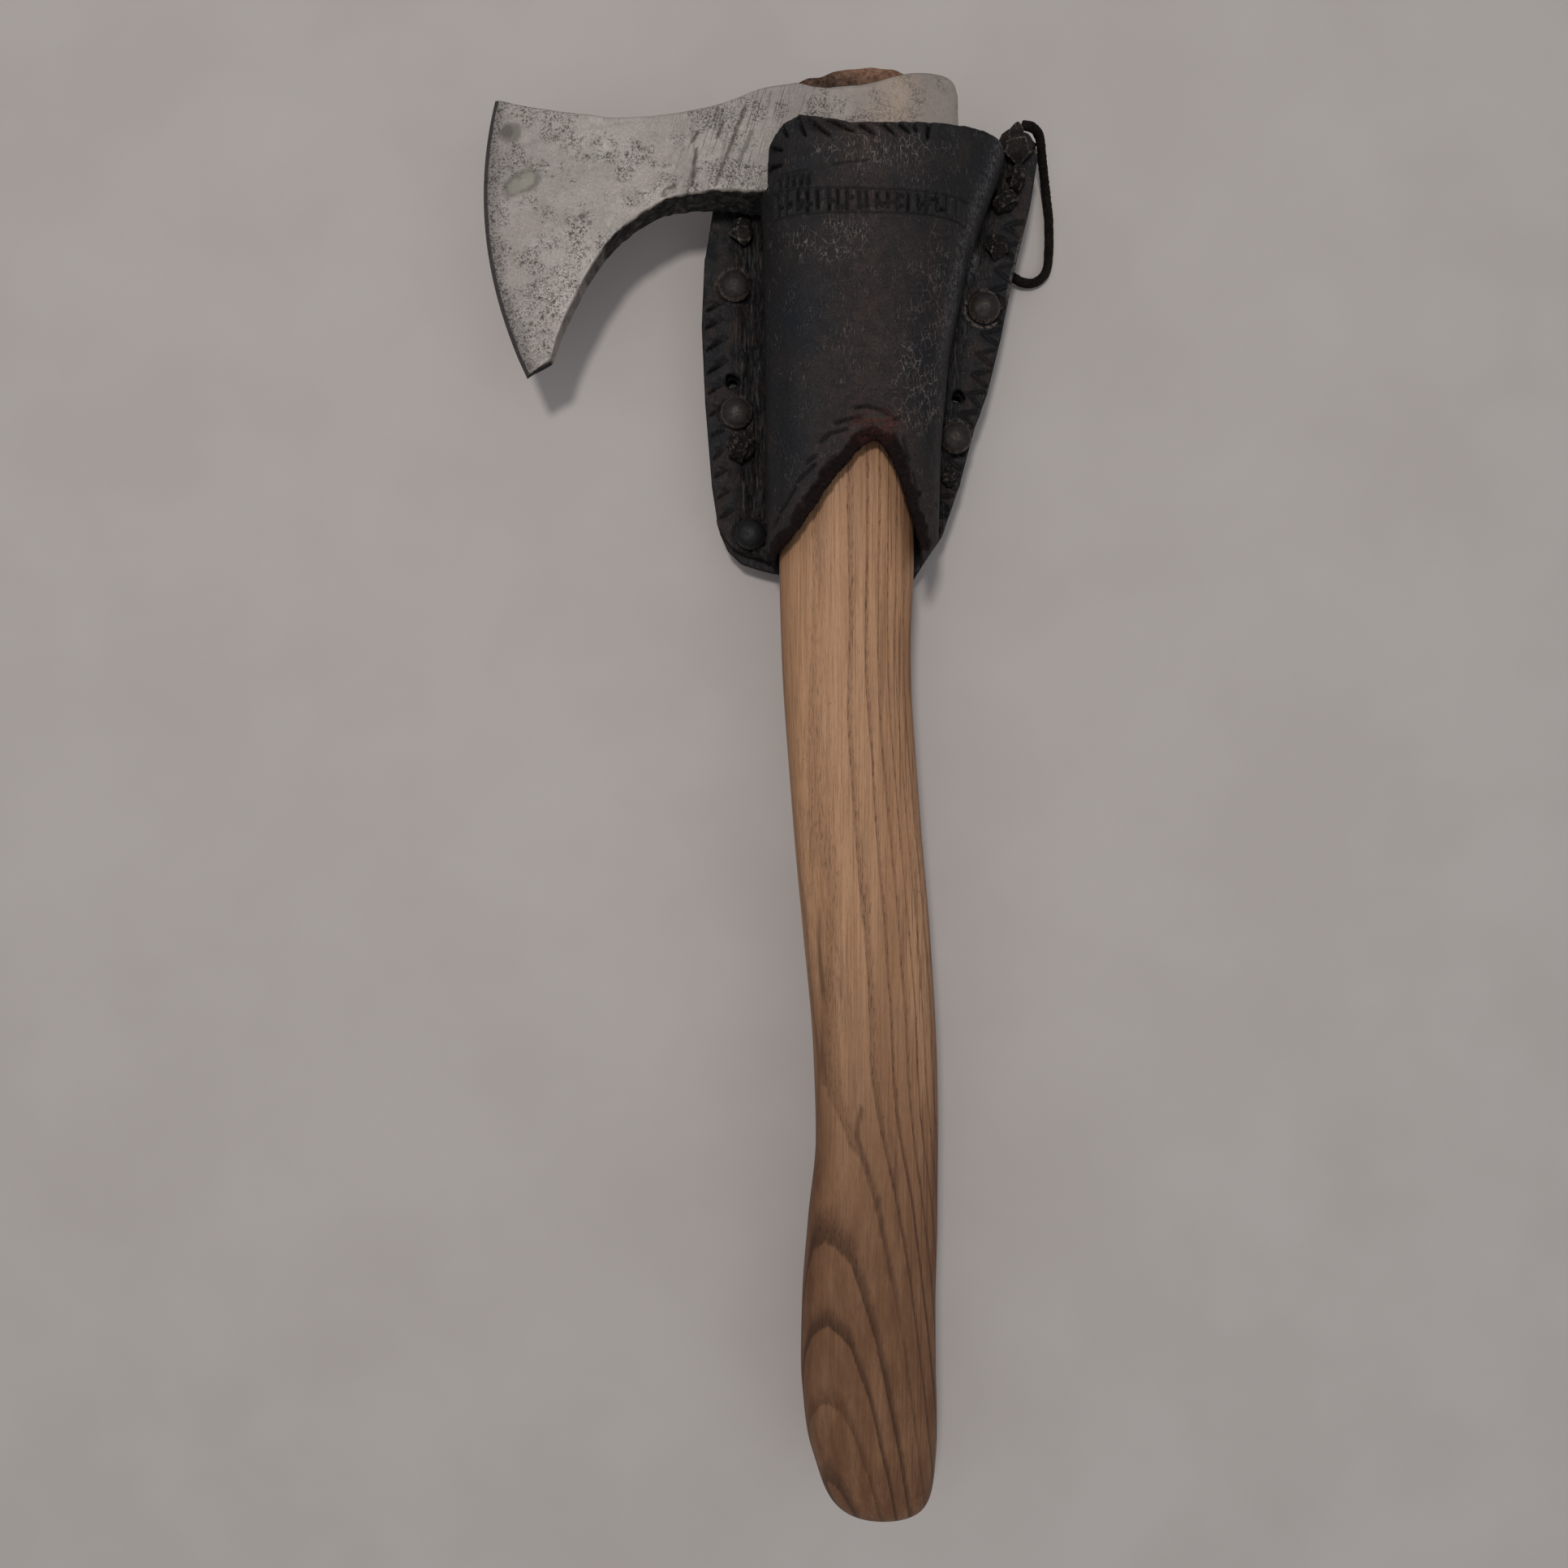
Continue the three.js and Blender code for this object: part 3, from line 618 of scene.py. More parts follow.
def leather_material(name, tone, cool, warm):
    """Blackened leather: fine grain, pale cracks where it has dried, brown where it has rubbed."""
    s = Shader(name, specular=0.16)
    # The dye: cool and neutral black, browner in patches and where it has rubbed.
    s.colour = s.mix(s.step(s.noise(24.0, 2), 0.36, 0.64), cool, tone)
    s.paint(s.step(s.noise((10.0, 16.0, 10.0), 4, 0.6), 0.46, 0.7, 0.0, 0.6), warm)
    worn = s.stored("worn")
    rubbed = s.times(worn, s.step(s.noise(3.4, 4, 0.65), 0.3, 0.7, 0.35, 1.0))
    s.paint(rubbed, (0.052, 0.034, 0.027))
    # Short pale ticks, and dark pores.
    ticks = s.times(s.step(s.noise((0.3, 2.2, 0.8), 2, 0.5), 0.6, 0.66), s.step(s.noise(8.0, 2), 0.45, 0.58))
    s.paint(s.times(ticks, s.add(0.25, s.times(s.stored("dry"), 0.6))), (0.15, 0.125, 0.11))
    pores = s.step(s.noise(0.6, 4, 0.75), 0.48, 0.38, 0.0, 0.7)
    s.paint(pores, (0.004, 0.004, 0.0045))
    # Cracks: short pieces of two nets, a wide and a fine one.
    stirred = s.warped(2.6, 1.1)
    wide = s.step(s.cells((2.2, 3.6, 2.6), "DISTANCE_TO_EDGE", vector=stirred), 0.042, 0.012)
    fine = s.step(s.cells((0.9, 1.7, 1.0), "DISTANCE_TO_EDGE", vector=stirred), 0.085, 0.02)
    breaks = s.step(s.noise((0.8, 1.5, 0.9), 2), 0.5, 0.58)
    dry = s.stored("dry")
    drift = s.step(s.noise((6.0, 9.0, 6.0), 3, 0.6), 0.46, 0.6)
    crack = s.times(s.times(wide, s.step(s.noise((2.0, 3.4, 2.4), 1), 0.42, 0.52)), s.stored("cracked"))
    net = s.times(s.times(fine, breaks), s.times(drift, dry))
    crack = s.larger(s.times(crack, 0.85), s.times(net, 0.5))
    s.paint(crack, (0.14, 0.112, 0.098))
    # Pale dots, and a pale sheen: a painted highlight along the right shoulder, and rubbed wear at its foot.
    dots = s.times(s.step(s.noise(0.5, 3, 0.7), 0.62, 0.7), s.step(s.noise(7.0, 2), 0.42, 0.6, 0.2, 1.0))
    s.paint(s.times(dots, 0.65), (0.15, 0.13, 0.115))
    sheen_and_scuff = s.times(s.stored("scuff_and_highlight"), s.step(s.noise(1.1, 5, 0.75), 0.44, 0.66))
    s.paint(sheen_and_scuff, (0.125, 0.125, 0.135))
    # Folds: painted shade inside them and a painted highlight along their crests.
    crease_shading = s.stored("crease_shading")
    run = s.noise((0.55, 6.0, 3.0), 3, 0.6, 0.7)
    folds = s.times(crease_shading, s.step(run, 0.5, 0.43))
    s.paint(s.times(folds, 0.75), (0.004, 0.0035, 0.0035))
    s.paint(s.times(s.times(crease_shading, s.step(run, 0.56, 0.66)), 0.45), (0.085, 0.07, 0.062))
    # Painted shade in the pressed marks, the cuts, the folds, the rivet dents and the hole walls.
    s.paint(s.times(s.stored("groove_shade"), 0.85), (0.0035, 0.003, 0.003))
    glint = s.times(s.stored("glint"), s.step(s.noise(1.4, 3, 0.7), 0.42, 0.54))
    s.paint(glint, (0.19, 0.15, 0.13))
    # Raw edges show the fibres, and one torn patch is reddish.
    fibre = s.noise(1.2, 6, 0.85, 2.0)
    flesh = s.mix(s.step(fibre, 0.36, 0.66), (0.0028, 0.0019, 0.0017), (0.03, 0.013, 0.0098))
    flesh = s.mix(s.step(fibre, 0.62, 0.72, 0.0, 0.6), flesh, (0.12, 0.085, 0.068))
    s.paint(s.stored("raw"), flesh)
    rusty = s.times(s.stored("rust"), s.step(s.noise(1.3, 5, 0.8, 1.5), 0.42, 0.5))
    rust_tone = s.mix(s.step(fibre, 0.42, 0.6), (0.01, 0.0035, 0.003), (0.09, 0.027, 0.019))
    s.paint(rusty, rust_tone)
    grain = s.cells(0.7, vector=s.warped(1.5, 0.5))
    height = s.add(s.times(grain, 0.07), s.times(s.noise(0.9, 4, 0.7), 0.14))
    height = s.add(height, s.times(s.noise((2.2, 3.5, 2.2), 3), 0.14))
    height = s.add(height, s.add(s.times(crack, -0.1), s.times(folds, -0.35)))
    height = s.add(height, s.times(s.times(s.stored("raw"), fibre), 1.3))
    roughness = s.step(s.noise(4.0, 4, 0.6), 0.3, 0.7, 0.5, 0.66)
    rough_parts = s.larger(s.stored("raw"), s.larger(crack, s.times(worn, 0.5)))
    roughness = s.add(roughness, s.times(rough_parts, 0.35))
    return s.finish(roughness, height)


def suede_material(name, dark, light, nap=0.45):
    """Rough-side-out leather with a matted nap."""
    s = Shader(name, roughness=0.9, specular=0.12)
    matted = s.noise(nap, 4, 0.75)
    broad = s.noise(3.4, 3)
    s.colour = s.mix(s.step(matted, 0.3, 0.72), dark, light)
    s.darken(s.step(broad, 0.4, 0.65, 0.0, 0.7), 0.35)
    tan = s.mix(s.step(matted, 0.35, 0.65), (0.13, 0.068, 0.042), (0.27, 0.15, 0.098))
    s.paint(s.stored("bared"), tan)
    # Painted highlights along the ridges of the knots.
    rim_highlights = s.times(s.stored("rim_highlights"), s.step(s.noise(1.1, 3, 0.6), 0.4, 0.56))
    s.paint(rim_highlights, (0.15, 0.125, 0.105))
    height = s.add(s.times(matted, 0.22), s.times(broad, 0.3))
    return s.finish(None, height)


def rivet_material(name, base, worn_tone, roughness=0.42):
    """Gunmetal, rubbed bright round the rim, and bright on the crown as worn metal with a painted highlight.
    """
    s = Shader(name, metallic=0.45, specular=0.3)
    s.colour = s.mix(s.step(s.noise(1.6, 4, 0.65), 0.35, 0.7), base, tuple(0.55 * c for c in base))
    rubbed = s.times(s.stored("rubbed"), s.step(s.noise(0.9, 4, 0.7), 0.36, 0.62))
    s.paint(rubbed, worn_tone)
    specks = s.step(s.noise(0.5, 3, 0.7), 0.62, 0.72)
    s.paint(s.times(specks, 0.5), (0.03, 0.022, 0.018))
    finish = s.step(s.noise(1.2, 3), 0.3, 0.7, roughness, roughness + 0.16)
    height = s.add(s.times(s.noise(0.9, 3, 0.6), 0.06), s.times(specks, -0.04))
    return s.finish(finish, height)


STEEL = steel_material()
WOOD = wood_material()
BLACK = leather_material("holster_leather", *BLACK_TONES)
WELT = leather_material("welt_leather", *WELT_TONES)
THONG = suede_material("thong_suede", (0.004, 0.0035, 0.0032), (0.021, 0.0175, 0.0155))
TOP_THONG = suede_material("top_thong_suede", (0.007, 0.006, 0.005), (0.04, 0.033, 0.028))
LACE = suede_material("lace_suede", (0.002, 0.0015, 0.0012), (0.02, 0.014, 0.0105), 0.5)
SHIM = suede_material("shim_leather", (0.03, 0.017, 0.012), (0.15, 0.088, 0.06), 1.6)
GUNMETAL = rivet_material("gunmetal", (0.028, 0.0225, 0.02), (0.17, 0.125, 0.10), 0.52)
BLACKENED = rivet_material("blackened_rivet", (0.012, 0.011, 0.0115), (0.05, 0.044, 0.04), 0.5)

# ---------------------------------------------------------------- camera

camera_data = bpy.data.cameras.new("camera")
camera_data.lens = CAMERA_LENS
camera_data.clip_start = 0.01
camera = placed("camera", camera_data)
camera.location = in_frame(CAMERA_AT)
bpy.context.scene.camera = camera

# ---------------------------------------------------------------- carrying cord

CORD_ROUTE = [
    (53.9, 427.2, 18.7), (56, 427.1, 18.4), (57.9, 426.6, 17.6), (59.4, 425.8, 16.2),
    (60.3, 424.9, 14.7), (61.3, 423, 11.8), (62.4, 421, 8.7), (63.6, 418.8, 5.3),
    (64.4, 417, 3.3), (65, 414.6, 2), (65.4, 412, 1.7), (65.9, 407.8, 1.7), (66.1, 402.6, 1.7),
    (66.1, 397.4, 1.7), (65.8, 392.6, 1.7), (65.1, 389.4, 1.7), (63.3, 387, 1.7),
    (60.8, 385.7, 1.8), (57.8, 385.6, 2.3), (54.8, 386.5, 3.2), (51.9, 387.9, 4.1),
    (47.9, 389.8, 5),
]
CORD_LENGTH = 71.0
cord_path = curve_through(CORD_ROUTE, 14)


def matted_section(place, angles):
    """Radius of the lace round one of its sections, uneven because of its matted nap."""
    along = np.full(len(angles), place * CORD_LENGTH / 1.4)
    around = np.column_stack([np.cos(angles), np.sin(angles), along])
    return CORD_DIAMETER / 2 * (0.96 + 0.1 * noise(around * 2.6, 1.0, 4))


cord = tube("carrying_cord_lace", cord_path, matted_section, 22)
finish_piece(shade(cord, 80), "holster", "cord_leather", LACE, "carrying_cord")
in_frame(CORD_ROUTE[0])
in_frame(cord_path)

# ---------------------------------------------------------------- axe head

# Matching stations from the cutting edge to the poll: x, y and half the thickness at the top outline,
# and the same at the underside.
HEAD = np.array(
    [
        (-107.6, 430.2, 0.2, -97.9, 345.9, 0.2),
        (-106.6, 430.1, 0.8, -97.1, 346.6, 0.75),
        (-105.2, 429.8, 1.2, -95.9, 347.5, 1.2),
        (-99, 427.9, 2.4, -91, 350.8, 2.1),
        (-92, 426.4, 3.0, -88.1, 358.3, 2.8),
        (-85, 425.2, 3.6, -84.4, 366.9, 3.2),
        (-77, 423.9, 4.2, -79.8, 375.4, 3.6),
        (-70, 423.0, 4.7, -74.3, 383.7, 3.9),
        (-62, 423.0, 5.2, -68.4, 390.1, 4.2),
        (-55, 423.4, 5.7, -61.6, 394.7, 4.6),
        (-47.5, 424.3, 6.1, -54.6, 398, 5.2),
        (-40, 425.8, 6.5, -46.5, 399.4, 6.1),
        (-34, 427.6, 6.9, -38, 399.8, 6.8),
        (-28, 429.7, 7.3, -28, 399.1, 7.3),
        (-22, 430.4, 8.2, -22, 398.8, 8.2),
        (-17, 430.3, 9.7, -17, 398.8, 9.7),
        (-11, 427.9, 11.9, -11, 398.7, 11.9),
        (-6, 426.9, 13.2, -6, 398.7, 13.2),
        (0, 426.9, 14.1, 0, 398.6, 14.1),
        (6, 427.7, 14.4, 6, 398.5, 14.4),
        (12, 429.6, 14.2, 12, 398.4, 14.2),
        (18, 431.0, 13.6, 18, 398.3, 13.6),
        (23, 431.4, 12.6, 23, 398.2, 12.6),
        (27, 431.2, 11.6, 27, 398.6, 11.6),
        (30, 429.7, 10.6, 30, 400, 10.6),
        (31.3, 426.8, 9.6, 31.7, 402.4, 9.6),
    ]
)
EDGE_BOW = 7.6  # how far the cutting edge curves out past the line between its ends
BOW_REACH = 0.42  # share of the stations over which that curve dies out
EYE = (16.75, 9.5)  # half its length and half its width
EYE_CUTTER = ((385, 1.2), (399.2, 0.9), (400.4, 0), (427.2, 0), (429, 0.7), (440, 1.2))  # y, flare
HEAD_STEPS = 300


def rounded_section(half_height, half_thickness, corner):
    """Points round a section with round corners, as shares of its half height and half thickness."""
    flat, end = np.linspace(-1, 1, 84), np.linspace(-1, 1, 9)
    bend = np.linspace(0, math.pi / 2, 6)[1:-1]
    high, thick = half_height - corner, half_thickness - corner
    side = [(high * v, half_thickness) for v in flat]
    turn = [(high + corner * math.sin(a), thick + corner * math.cos(a)) for a in bend]
    top = [(half_height, -thick * w) for w in end]
    turn_down = [(high + corner * math.cos(a), -thick - corner * math.sin(a)) for a in bend]
    half = np.array(side + turn + top + turn_down) / (half_height, half_thickness)
    return np.vstack([half, -half])


def build_head():
    shares = np.linspace(0, len(HEAD) - 1, HEAD_STEPS)
    columns = [smooth_line(range(len(HEAD)), HEAD[:, k], shares) for k in range(6)]
    rings = []
    for share, station in zip(shares / (len(HEAD) - 1), zip(*columns)):
        top_x, top_y, top_half, low_x, low_y, low_half = station
        top, low = np.array([top_x, top_y]), np.array([low_x, low_y])
        half_height, half = np.linalg.norm(top - low) / 2, (top_half + low_half) / 2
        corner = min(0.45 * half, 0.9 + 0.6 * step(0.45, 0.95, share))
        v, w = rounded_section(half_height, half, corner).T
        middle = (top + low) / 2 + v[:, None] * (top - low) / 2
        bow = EDGE_BOW * max(0, 1 - share / BOW_REACH) ** 2 * (1 - v**2)
        half_there = low_half + (top_half - low_half) * (v + 1) / 2
        rings.append(np.column_stack([middle[:, 0] - bow, middle[:, 1], AXE_Z + w * half_there]))
    head = loft("bearded_head", rings)
    points, normals = points_of(head), normals_of(head)
    face = np.abs(normals[:, 2])
    thick = step(-109, -95, points[:, 0])
    hammered = 0.16 * noise(points, (7, 7, 40), 11) + 0.07 * noise(points, (2.6, 2.6, 12), 12)
    # The underside was left as the hammer and the file made it.
    under = step(-0.2, -0.7, normals[:, 1])
    filed = 0.5 * noise(points, (5.5, 5.5, 14), 13) + 0.35 * noise(points, (1.3, 2.2, 9), 14)
    nicks = 0.2 * np.minimum(0, noise(points, (30, 1.7, 30), 15) + 0.45) * step(-100, -108, points[:, 0])
    rough = (0.1 + 0.9 * under) * filed - np.abs(nicks)
    swell(head, thick * (face * hammered + (1 - face) * rough))
    eye = []
    for y, flare in EYE_CUTTER:
        angles = round_turn(72)
        x, z = (EYE[0] + flare) * np.cos(angles), (EYE[1] + flare) * np.sin(angles)
        eye.append(np.column_stack([x, np.full(72, y), AXE_Z + z]))
    combine(head, loft("eye_cutter", eye), "DIFFERENCE")
    shade(head, 38)
    paint_head(head)
    return head


def paint_head(head):
    points, normals = points_of(head), normals_of(head)
    x, z = points[:, 0], points[:, 2]
    ragged = noise(points, 2.2, 21)
    from_edge = edge_distance(points)
    # Painted shade on the narrow bevel along the cutting edge.
    store(head, "bevel", step(1.5, 1.1, from_edge + 0.18 * ragged))
    store(head, "edge_band", step(6.5, 2.0, from_edge + 1.2 * ragged))
    # Forge scale, and painted shade on the narrow faces that turn away from the light.
    narrow_faces = step(-0.3, -0.7, normals[:, 1]) + 0.7 * step(0.5, 0.85, normals[:, 1])
    store(head, "forge_scale_and_shade", np.clip(narrow_faces, 0, 1))
    store(head, "scoured", step(-58, -46, x) * step(2, -14, x))
    # A painted highlight on the upper side of the eye's bulge, stored as warm.
    eye_wall = np.exp(-(((x - 12.5) / 6.5) ** 2)) * step(30, 37, z)
    store(head, "eye_wall", 0.55 * step(-12, 4, x))
    store(head, "warm", 0.7 * eye_wall * (0.75 + 0.25 * noise(points, 4, 24)))
    corner = step(0.97, 0.9, normals[:, 2]) * step(0.2, 0.5, normals[:, 2])
    rubbed = step(-0.6, 0.3, noise(points, 2.5, 27))
    store(head, "arris", corner * step(-96, -86, x) * step(-20, -34, x) * rubbed)
    pitted = zone(points, (-91, 425), 14, 6) + zone(points, (-96, 362), 8, 13)
    pitted += zone(points, (-33, 405), 12, 6)
    store(head, "pitted", np.clip(pitted + 0.7 * zone(points, (-36, 419), 9, 6), 0, 1))
    toe, mark, pit, scab = (-102.4, 419.8), (-99.3, 404.2), (-80.5, 393.6), (-54.6, 400.6)
    stain = 0.5 * spot(points, toe, 3.3, 3.1) + 0.25 * spot(points, (-103.6, 420.4), 1.8, 2.4)
    stain += 0.55 * ring_spot(points, mark, 7.0, 3.3, 25) + 0.7 * spot(points, pit, 1.3, 1.0)
    stain += 0.85 * spot(points, scab, 3.0, 1.1, 35) * step(-0.8, 0.0, noise(points, 0.9, 25))
    store(head, "stain", np.clip(stain, 0, 1))
    store(head, "film", 0.85 * spot(points, mark, 6.4, 2.8, 25) + 0.5 * spot(points, (-101, 419), 1.8, 2.2))
    gouges = [
        ([(-31.6, 424.3), (-36, 413), (-40.5, 401.7)], 0.85),
        ([(-45.8, 417.4), (-47.6, 414.6)], 1.0),
        ([(-46.2, 412.4), (-47.6, 401.6)], 1.0),
        ([(-38.4, 419.4), (-39.8, 415.8)], 0.9),
        ([(-29.6, 417), (-33.4, 408)], 0.6),
        ([(-102, 414.5), (-86, 418.8), (-66, 421)], 0.16),
    ]
    marks = np.zeros(len(points))
    for line, strength in gouges:
        near = distance_to_line(points, line) + 0.25 * noise(points, (1, 3, 9), 26)
        marks = np.maximum(marks, strength * step(0.8, 0.3, near))
    store(head, "gouge", marks * step(0.3, 0.7, normals[:, 2]))


def edge_distance(points):
    """How far each point is from the cutting edge, across the blade."""
    v = np.linspace(-1, 1, 40)
    top, low = HEAD[0, :2], HEAD[0, 3:5]
    line = (top + low) / 2 + v[:, None] * (top - low) / 2
    line[:, 0] -= EDGE_BOW * (1 - v**2)
    return distance_to_line(points, line)


def zone(points, at, half_x, half_y):
    """1 in the middle of an oval region, fading to 0 at its ragged edge."""
    reach = np.hypot((points[:, 0] - at[0]) / half_x, (points[:, 1] - at[1]) / half_y)
    return step(1.15, 0.55, reach + 0.3 * noise(points, 5, 48))


def spot(points, at, long_half, short_half, turn=0):
    """1 inside an oval spot, with a ragged edge; turn is in degrees."""
    dx, dy = points[:, 0] - at[0], points[:, 1] - at[1]
    c, s = math.cos(math.radians(turn)), math.sin(math.radians(turn))
    reach = np.hypot((dx * c + dy * s) / long_half, (dy * c - dx * s) / short_half)
    return step(1.15, 0.8, reach + 0.22 * noise(points, 1.8, 23))


def ring_spot(points, at, long_half, short_half, turn=0):
    """The dark rim of a spot."""
    outer = spot(points, at, long_half, short_half, turn)
    return np.clip(outer - 0.85 * spot(points, at, 0.72 * long_half, 0.66 * short_half, turn), 0, 1)


axe_head = build_head()
finish_piece(axe_head, "axe", "head_steel", STEEL, "axe_head")

# ---------------------------------------------------------------- haft

# Stations from the butt up: y, left side, right side, half the thickness.
HAFT = np.array(
    [
        (2, 9.5, 12.0, 1.0),
        (2.35, 4.6, 15.9, 3.6),
        (3.2, 0.7, 18.6, 6.3),
        (5.6, -4.1, 22.7, 9.6),
        (10.5, -7.7, 24.8, 12.2),
        (18, -10.3, 25.7, 13.5),
        (28, -13, 26.2, 13.9),
        (37.5, -14.1, 26.1, 14.1),
        (47.4, -14.8, 25.8, 14.1),
        (67, -14.4, 25.7, 13.8),
        (91.6, -12.7, 26.4, 13.2),
        (116, -10.4, 26.6, 12.7),
        (141, -11, 26.1, 12.5),
        (180, -14.4, 24, 12.5),
        (214.6, -17.6, 21, 12.7),
        (264, -20.7, 18.3, 13),
        (291, -21.3, 19.2, 13),
        (320, -20.9, 18.9, 12.8),
        (360, -19, 18, 11.8),
        (396, -17.4, 17.4, 10.6),
        (399, -15.7, 15.7, 8.5),
        (436, -15.45, 15.45, 8.2),
    ]
)
BUTT = 2
TENON_TOP = 435.0
# The slanting cut across the tenon's end.
PROUD_TOP = [
    (-17.6, 431.4), (-13.3, 432.3), (-9.4, 432.7), (-5.6, 433.8), (0, 434.7), (6, 435.2),
    (12, 435), (17, 434.2),
]
# Growth rings: where along the haft each arch peaks, and the rings across its straight part, each as
# (distance from the haft's middle, number of the ring).
ARCH_X, ARCH_CURVE = -7.5, 0.142
ARCH_LEVELS = [15, 40, 63.5, 87.5, 126, 158, 186, 211, 234, 255, 274, 292]
STRAIGHT_RINGS = [(-20, 3.6), (-6, 4.4), (2, 5.4), (10, 7.3), (18, 10.5), (24, 13)]
HAFT_SQUARENESS = 2.5
TENON_FROM = 396
WEDGE = {"top": 3.5, "bottom": 1.1, "bottom_y": 402, "half_length": 13.5}


def wedge_box(grow, top_y):
    """The wedge, or with grow the cutter of its kerf."""
    rings = []
    for y in (WEDGE["bottom_y"] - grow, top_y):
        share = (y - WEDGE["bottom_y"]) / (TENON_TOP - WEDGE["bottom_y"])
        thick = (WEDGE["bottom"] + (WEDGE["top"] - WEDGE["bottom"]) * share) / 2 + grow
        long_half = WEDGE["half_length"] + grow
        corners = [(-long_half, -thick), (long_half, -thick), (long_half, thick), (-long_half, thick)]
        rings.append([(x, y, AXE_Z + z) for x, z in corners])
    return rings


def build_haft():
    root = np.linspace(0, math.sqrt(40), 60)
    y = np.concatenate([BUTT + root**2, np.linspace(43, 395, 330), np.linspace(396, TENON_TOP, 48)])
    from_butt = np.sqrt(HAFT[:, 0] - BUTT)
    left, right, half = (smooth_line(from_butt, HAFT[:, k], np.sqrt(y - BUTT)) for k in (1, 2, 3))
    angles = round_turn(144)
    square = np.where(y < TENON_FROM, HAFT_SQUARENESS - 0.35 * step(45, 5, y), 2.0)[:, None]
    across = power(np.cos(angles)[None], 2 / square)
    rise = power(np.sin(angles)[None], 2 / square)
    x = (left + right)[:, None] / 2 + across * (right - left)[:, None] / 2
    z = AXE_Z + rise * half[:, None]
    rings = np.stack([x, np.broadcast_to(y[:, None], x.shape), z], axis=2)
    # The tenon's proud end was cut off on a slant.
    lift = step(TENON_TOP - 12, TENON_TOP, y)[:, None]
    rings[..., 1] -= lift * (TENON_TOP - np.interp(rings[..., 0], *np.transpose(PROUD_TOP)))
    haft = loft("curved_haft", rings)
    points = points_of(haft)
    whittled = 0.16 * noise(points, (9, 40, 9), 31) + 0.05 * noise(points, (3, 14, 3), 32)
    worn_in = step(0, 12, points[:, 1]) * step(396, 380, points[:, 1])
    swell(haft, whittled * worn_in)
    combine(haft, loft("kerf_cutter", wedge_box(0.25, 442)), "DIFFERENCE")
    shade(haft, 42)
    paint_haft(haft)
    return haft


def growth_rings(points, middle):
    """Number of the growth ring at each point: arches in the knob, straight lines above it."""
    x, y, z = points.T
    curve = ARCH_CURVE * np.where(x < ARCH_X, 2, 1)
    arches = np.interp(y + curve * (x - ARCH_X) ** 2, ARCH_LEVELS, np.arange(len(ARCH_LEVELS)))
    straight = np.interp(x - middle, *np.transpose(STRAIGHT_RINGS))
    share = step(100, 160, y)
    waves = (0.05 + 0.07 * share) * noise(points, (3, 40, 14), 35)
    waves += 0.28 * share * noise(points, (14, 90, 24), 36)
    lower_side = 0.1 * np.abs(z - AXE_Z - 12) * step(AXE_Z + 8, AXE_Z, z)
    return arches * (1 - share) + straight * share + waves + lower_side


def paint_haft(haft):
    points, normals = points_of(haft), normals_of(haft)
    x, y = points[:, 0], points[:, 1]
    middle = smooth_line(HAFT[:, 0], (HAFT[:, 1] + HAFT[:, 2]) / 2, y)
    store(haft, "rings", growth_rings(points, middle))
    # The right half gets painted shade, as the side away from the light.
    right_half = step(2, 13, x - middle)
    store(haft, "shaded_side", np.clip(0.15 + 0.85 * right_half, 0, 1))
    butt = 0.34 * step(34, 4, y) + 0.3 * step(7, 2, y)
    knob = 0.8 * step(200, 60, y)
    # Painted shade where the sides of the haft turn away from the top.
    edge = 0.3 * step(0.85, 0.35, np.abs(normals[:, 2]))
    store(haft, "grime_and_shade", np.clip(butt + knob + edge, 0, 0.9))
    # Dark seams where the grain has opened.
    seams = [
        ([(-9.8, 186), (-9.2, 170), (-8.2, 158), (-8.6, 146), (-8.2, 134)], 0.85),
        ([(-4.4, 165.7), (-0.6, 153.8), (0.7, 137.2), (0.7, 128)], 0.3),
        ([(2.6, 128), (1.7, 119.7), (4.9, 108.7), (7.7, 99.5), (9.5, 87.5), (10.9, 78.7)], 0.95),
        ([(11.4, 119.8), (12.7, 108.7), (13.2, 97.6), (14.1, 86.6), (15.5, 79.2)], 0.6),
        ([(11.8, 71), (13.2, 61.8), (15, 52.5), (16.4, 45.2)], 0.55),
        ([(3.5, 70.9), (7.7, 57.1), (10.4, 43.3), (13.2, 29.5)], 0.6),
        ([(-6, 34), (-4.6, 24), (-3.4, 17)], 0.45),
        ([(-3, 38), (-1.8, 26), (-0.6, 18)], 0.35),
    ]
    marks = np.zeros(len(points))
    for line, strength in seams:
        near = distance_to_line(points, curve_through([(*p, 0) for p in line], 6))
        dashes = step(-0.9, 0.3, noise(points, (1.4, 11, 30), 33))
        wide = step(1.0, 0.2, near + 0.3 * noise(points, (1.0, 9, 20), 34))
        marks = np.maximum(marks, strength * wide * dashes)
    store(haft, "seam", np.clip(marks * step(0.1, 0.5, normals[:, 2]), 0, 1))
    store(haft, "proud_end", step(400, 404, y))


haft = build_haft()
finish_piece(haft, "axe", "ash_wood", WOOD, "haft")


def build_wedge():
    corners = wedge_box(0, TENON_TOP - 1.2)
    wedge = loft("oak_wedge", corners)
    applied(wedge, "BEVEL", width=0.25 * MM, segments=2, limit_method="ANGLE")
    for name in ("shaded_side", "seam", "rings"):
        store(wedge, name, np.zeros(len(wedge.data.vertices)))
    store(wedge, "grime_and_shade", np.full(len(wedge.data.vertices), 0.8))
    store(wedge, "proud_end", np.full(len(wedge.data.vertices), 0.6))
    return shade(wedge)


finish_piece(build_wedge(), "axe", "wedge_wood", WOOD, "eye_wedge")


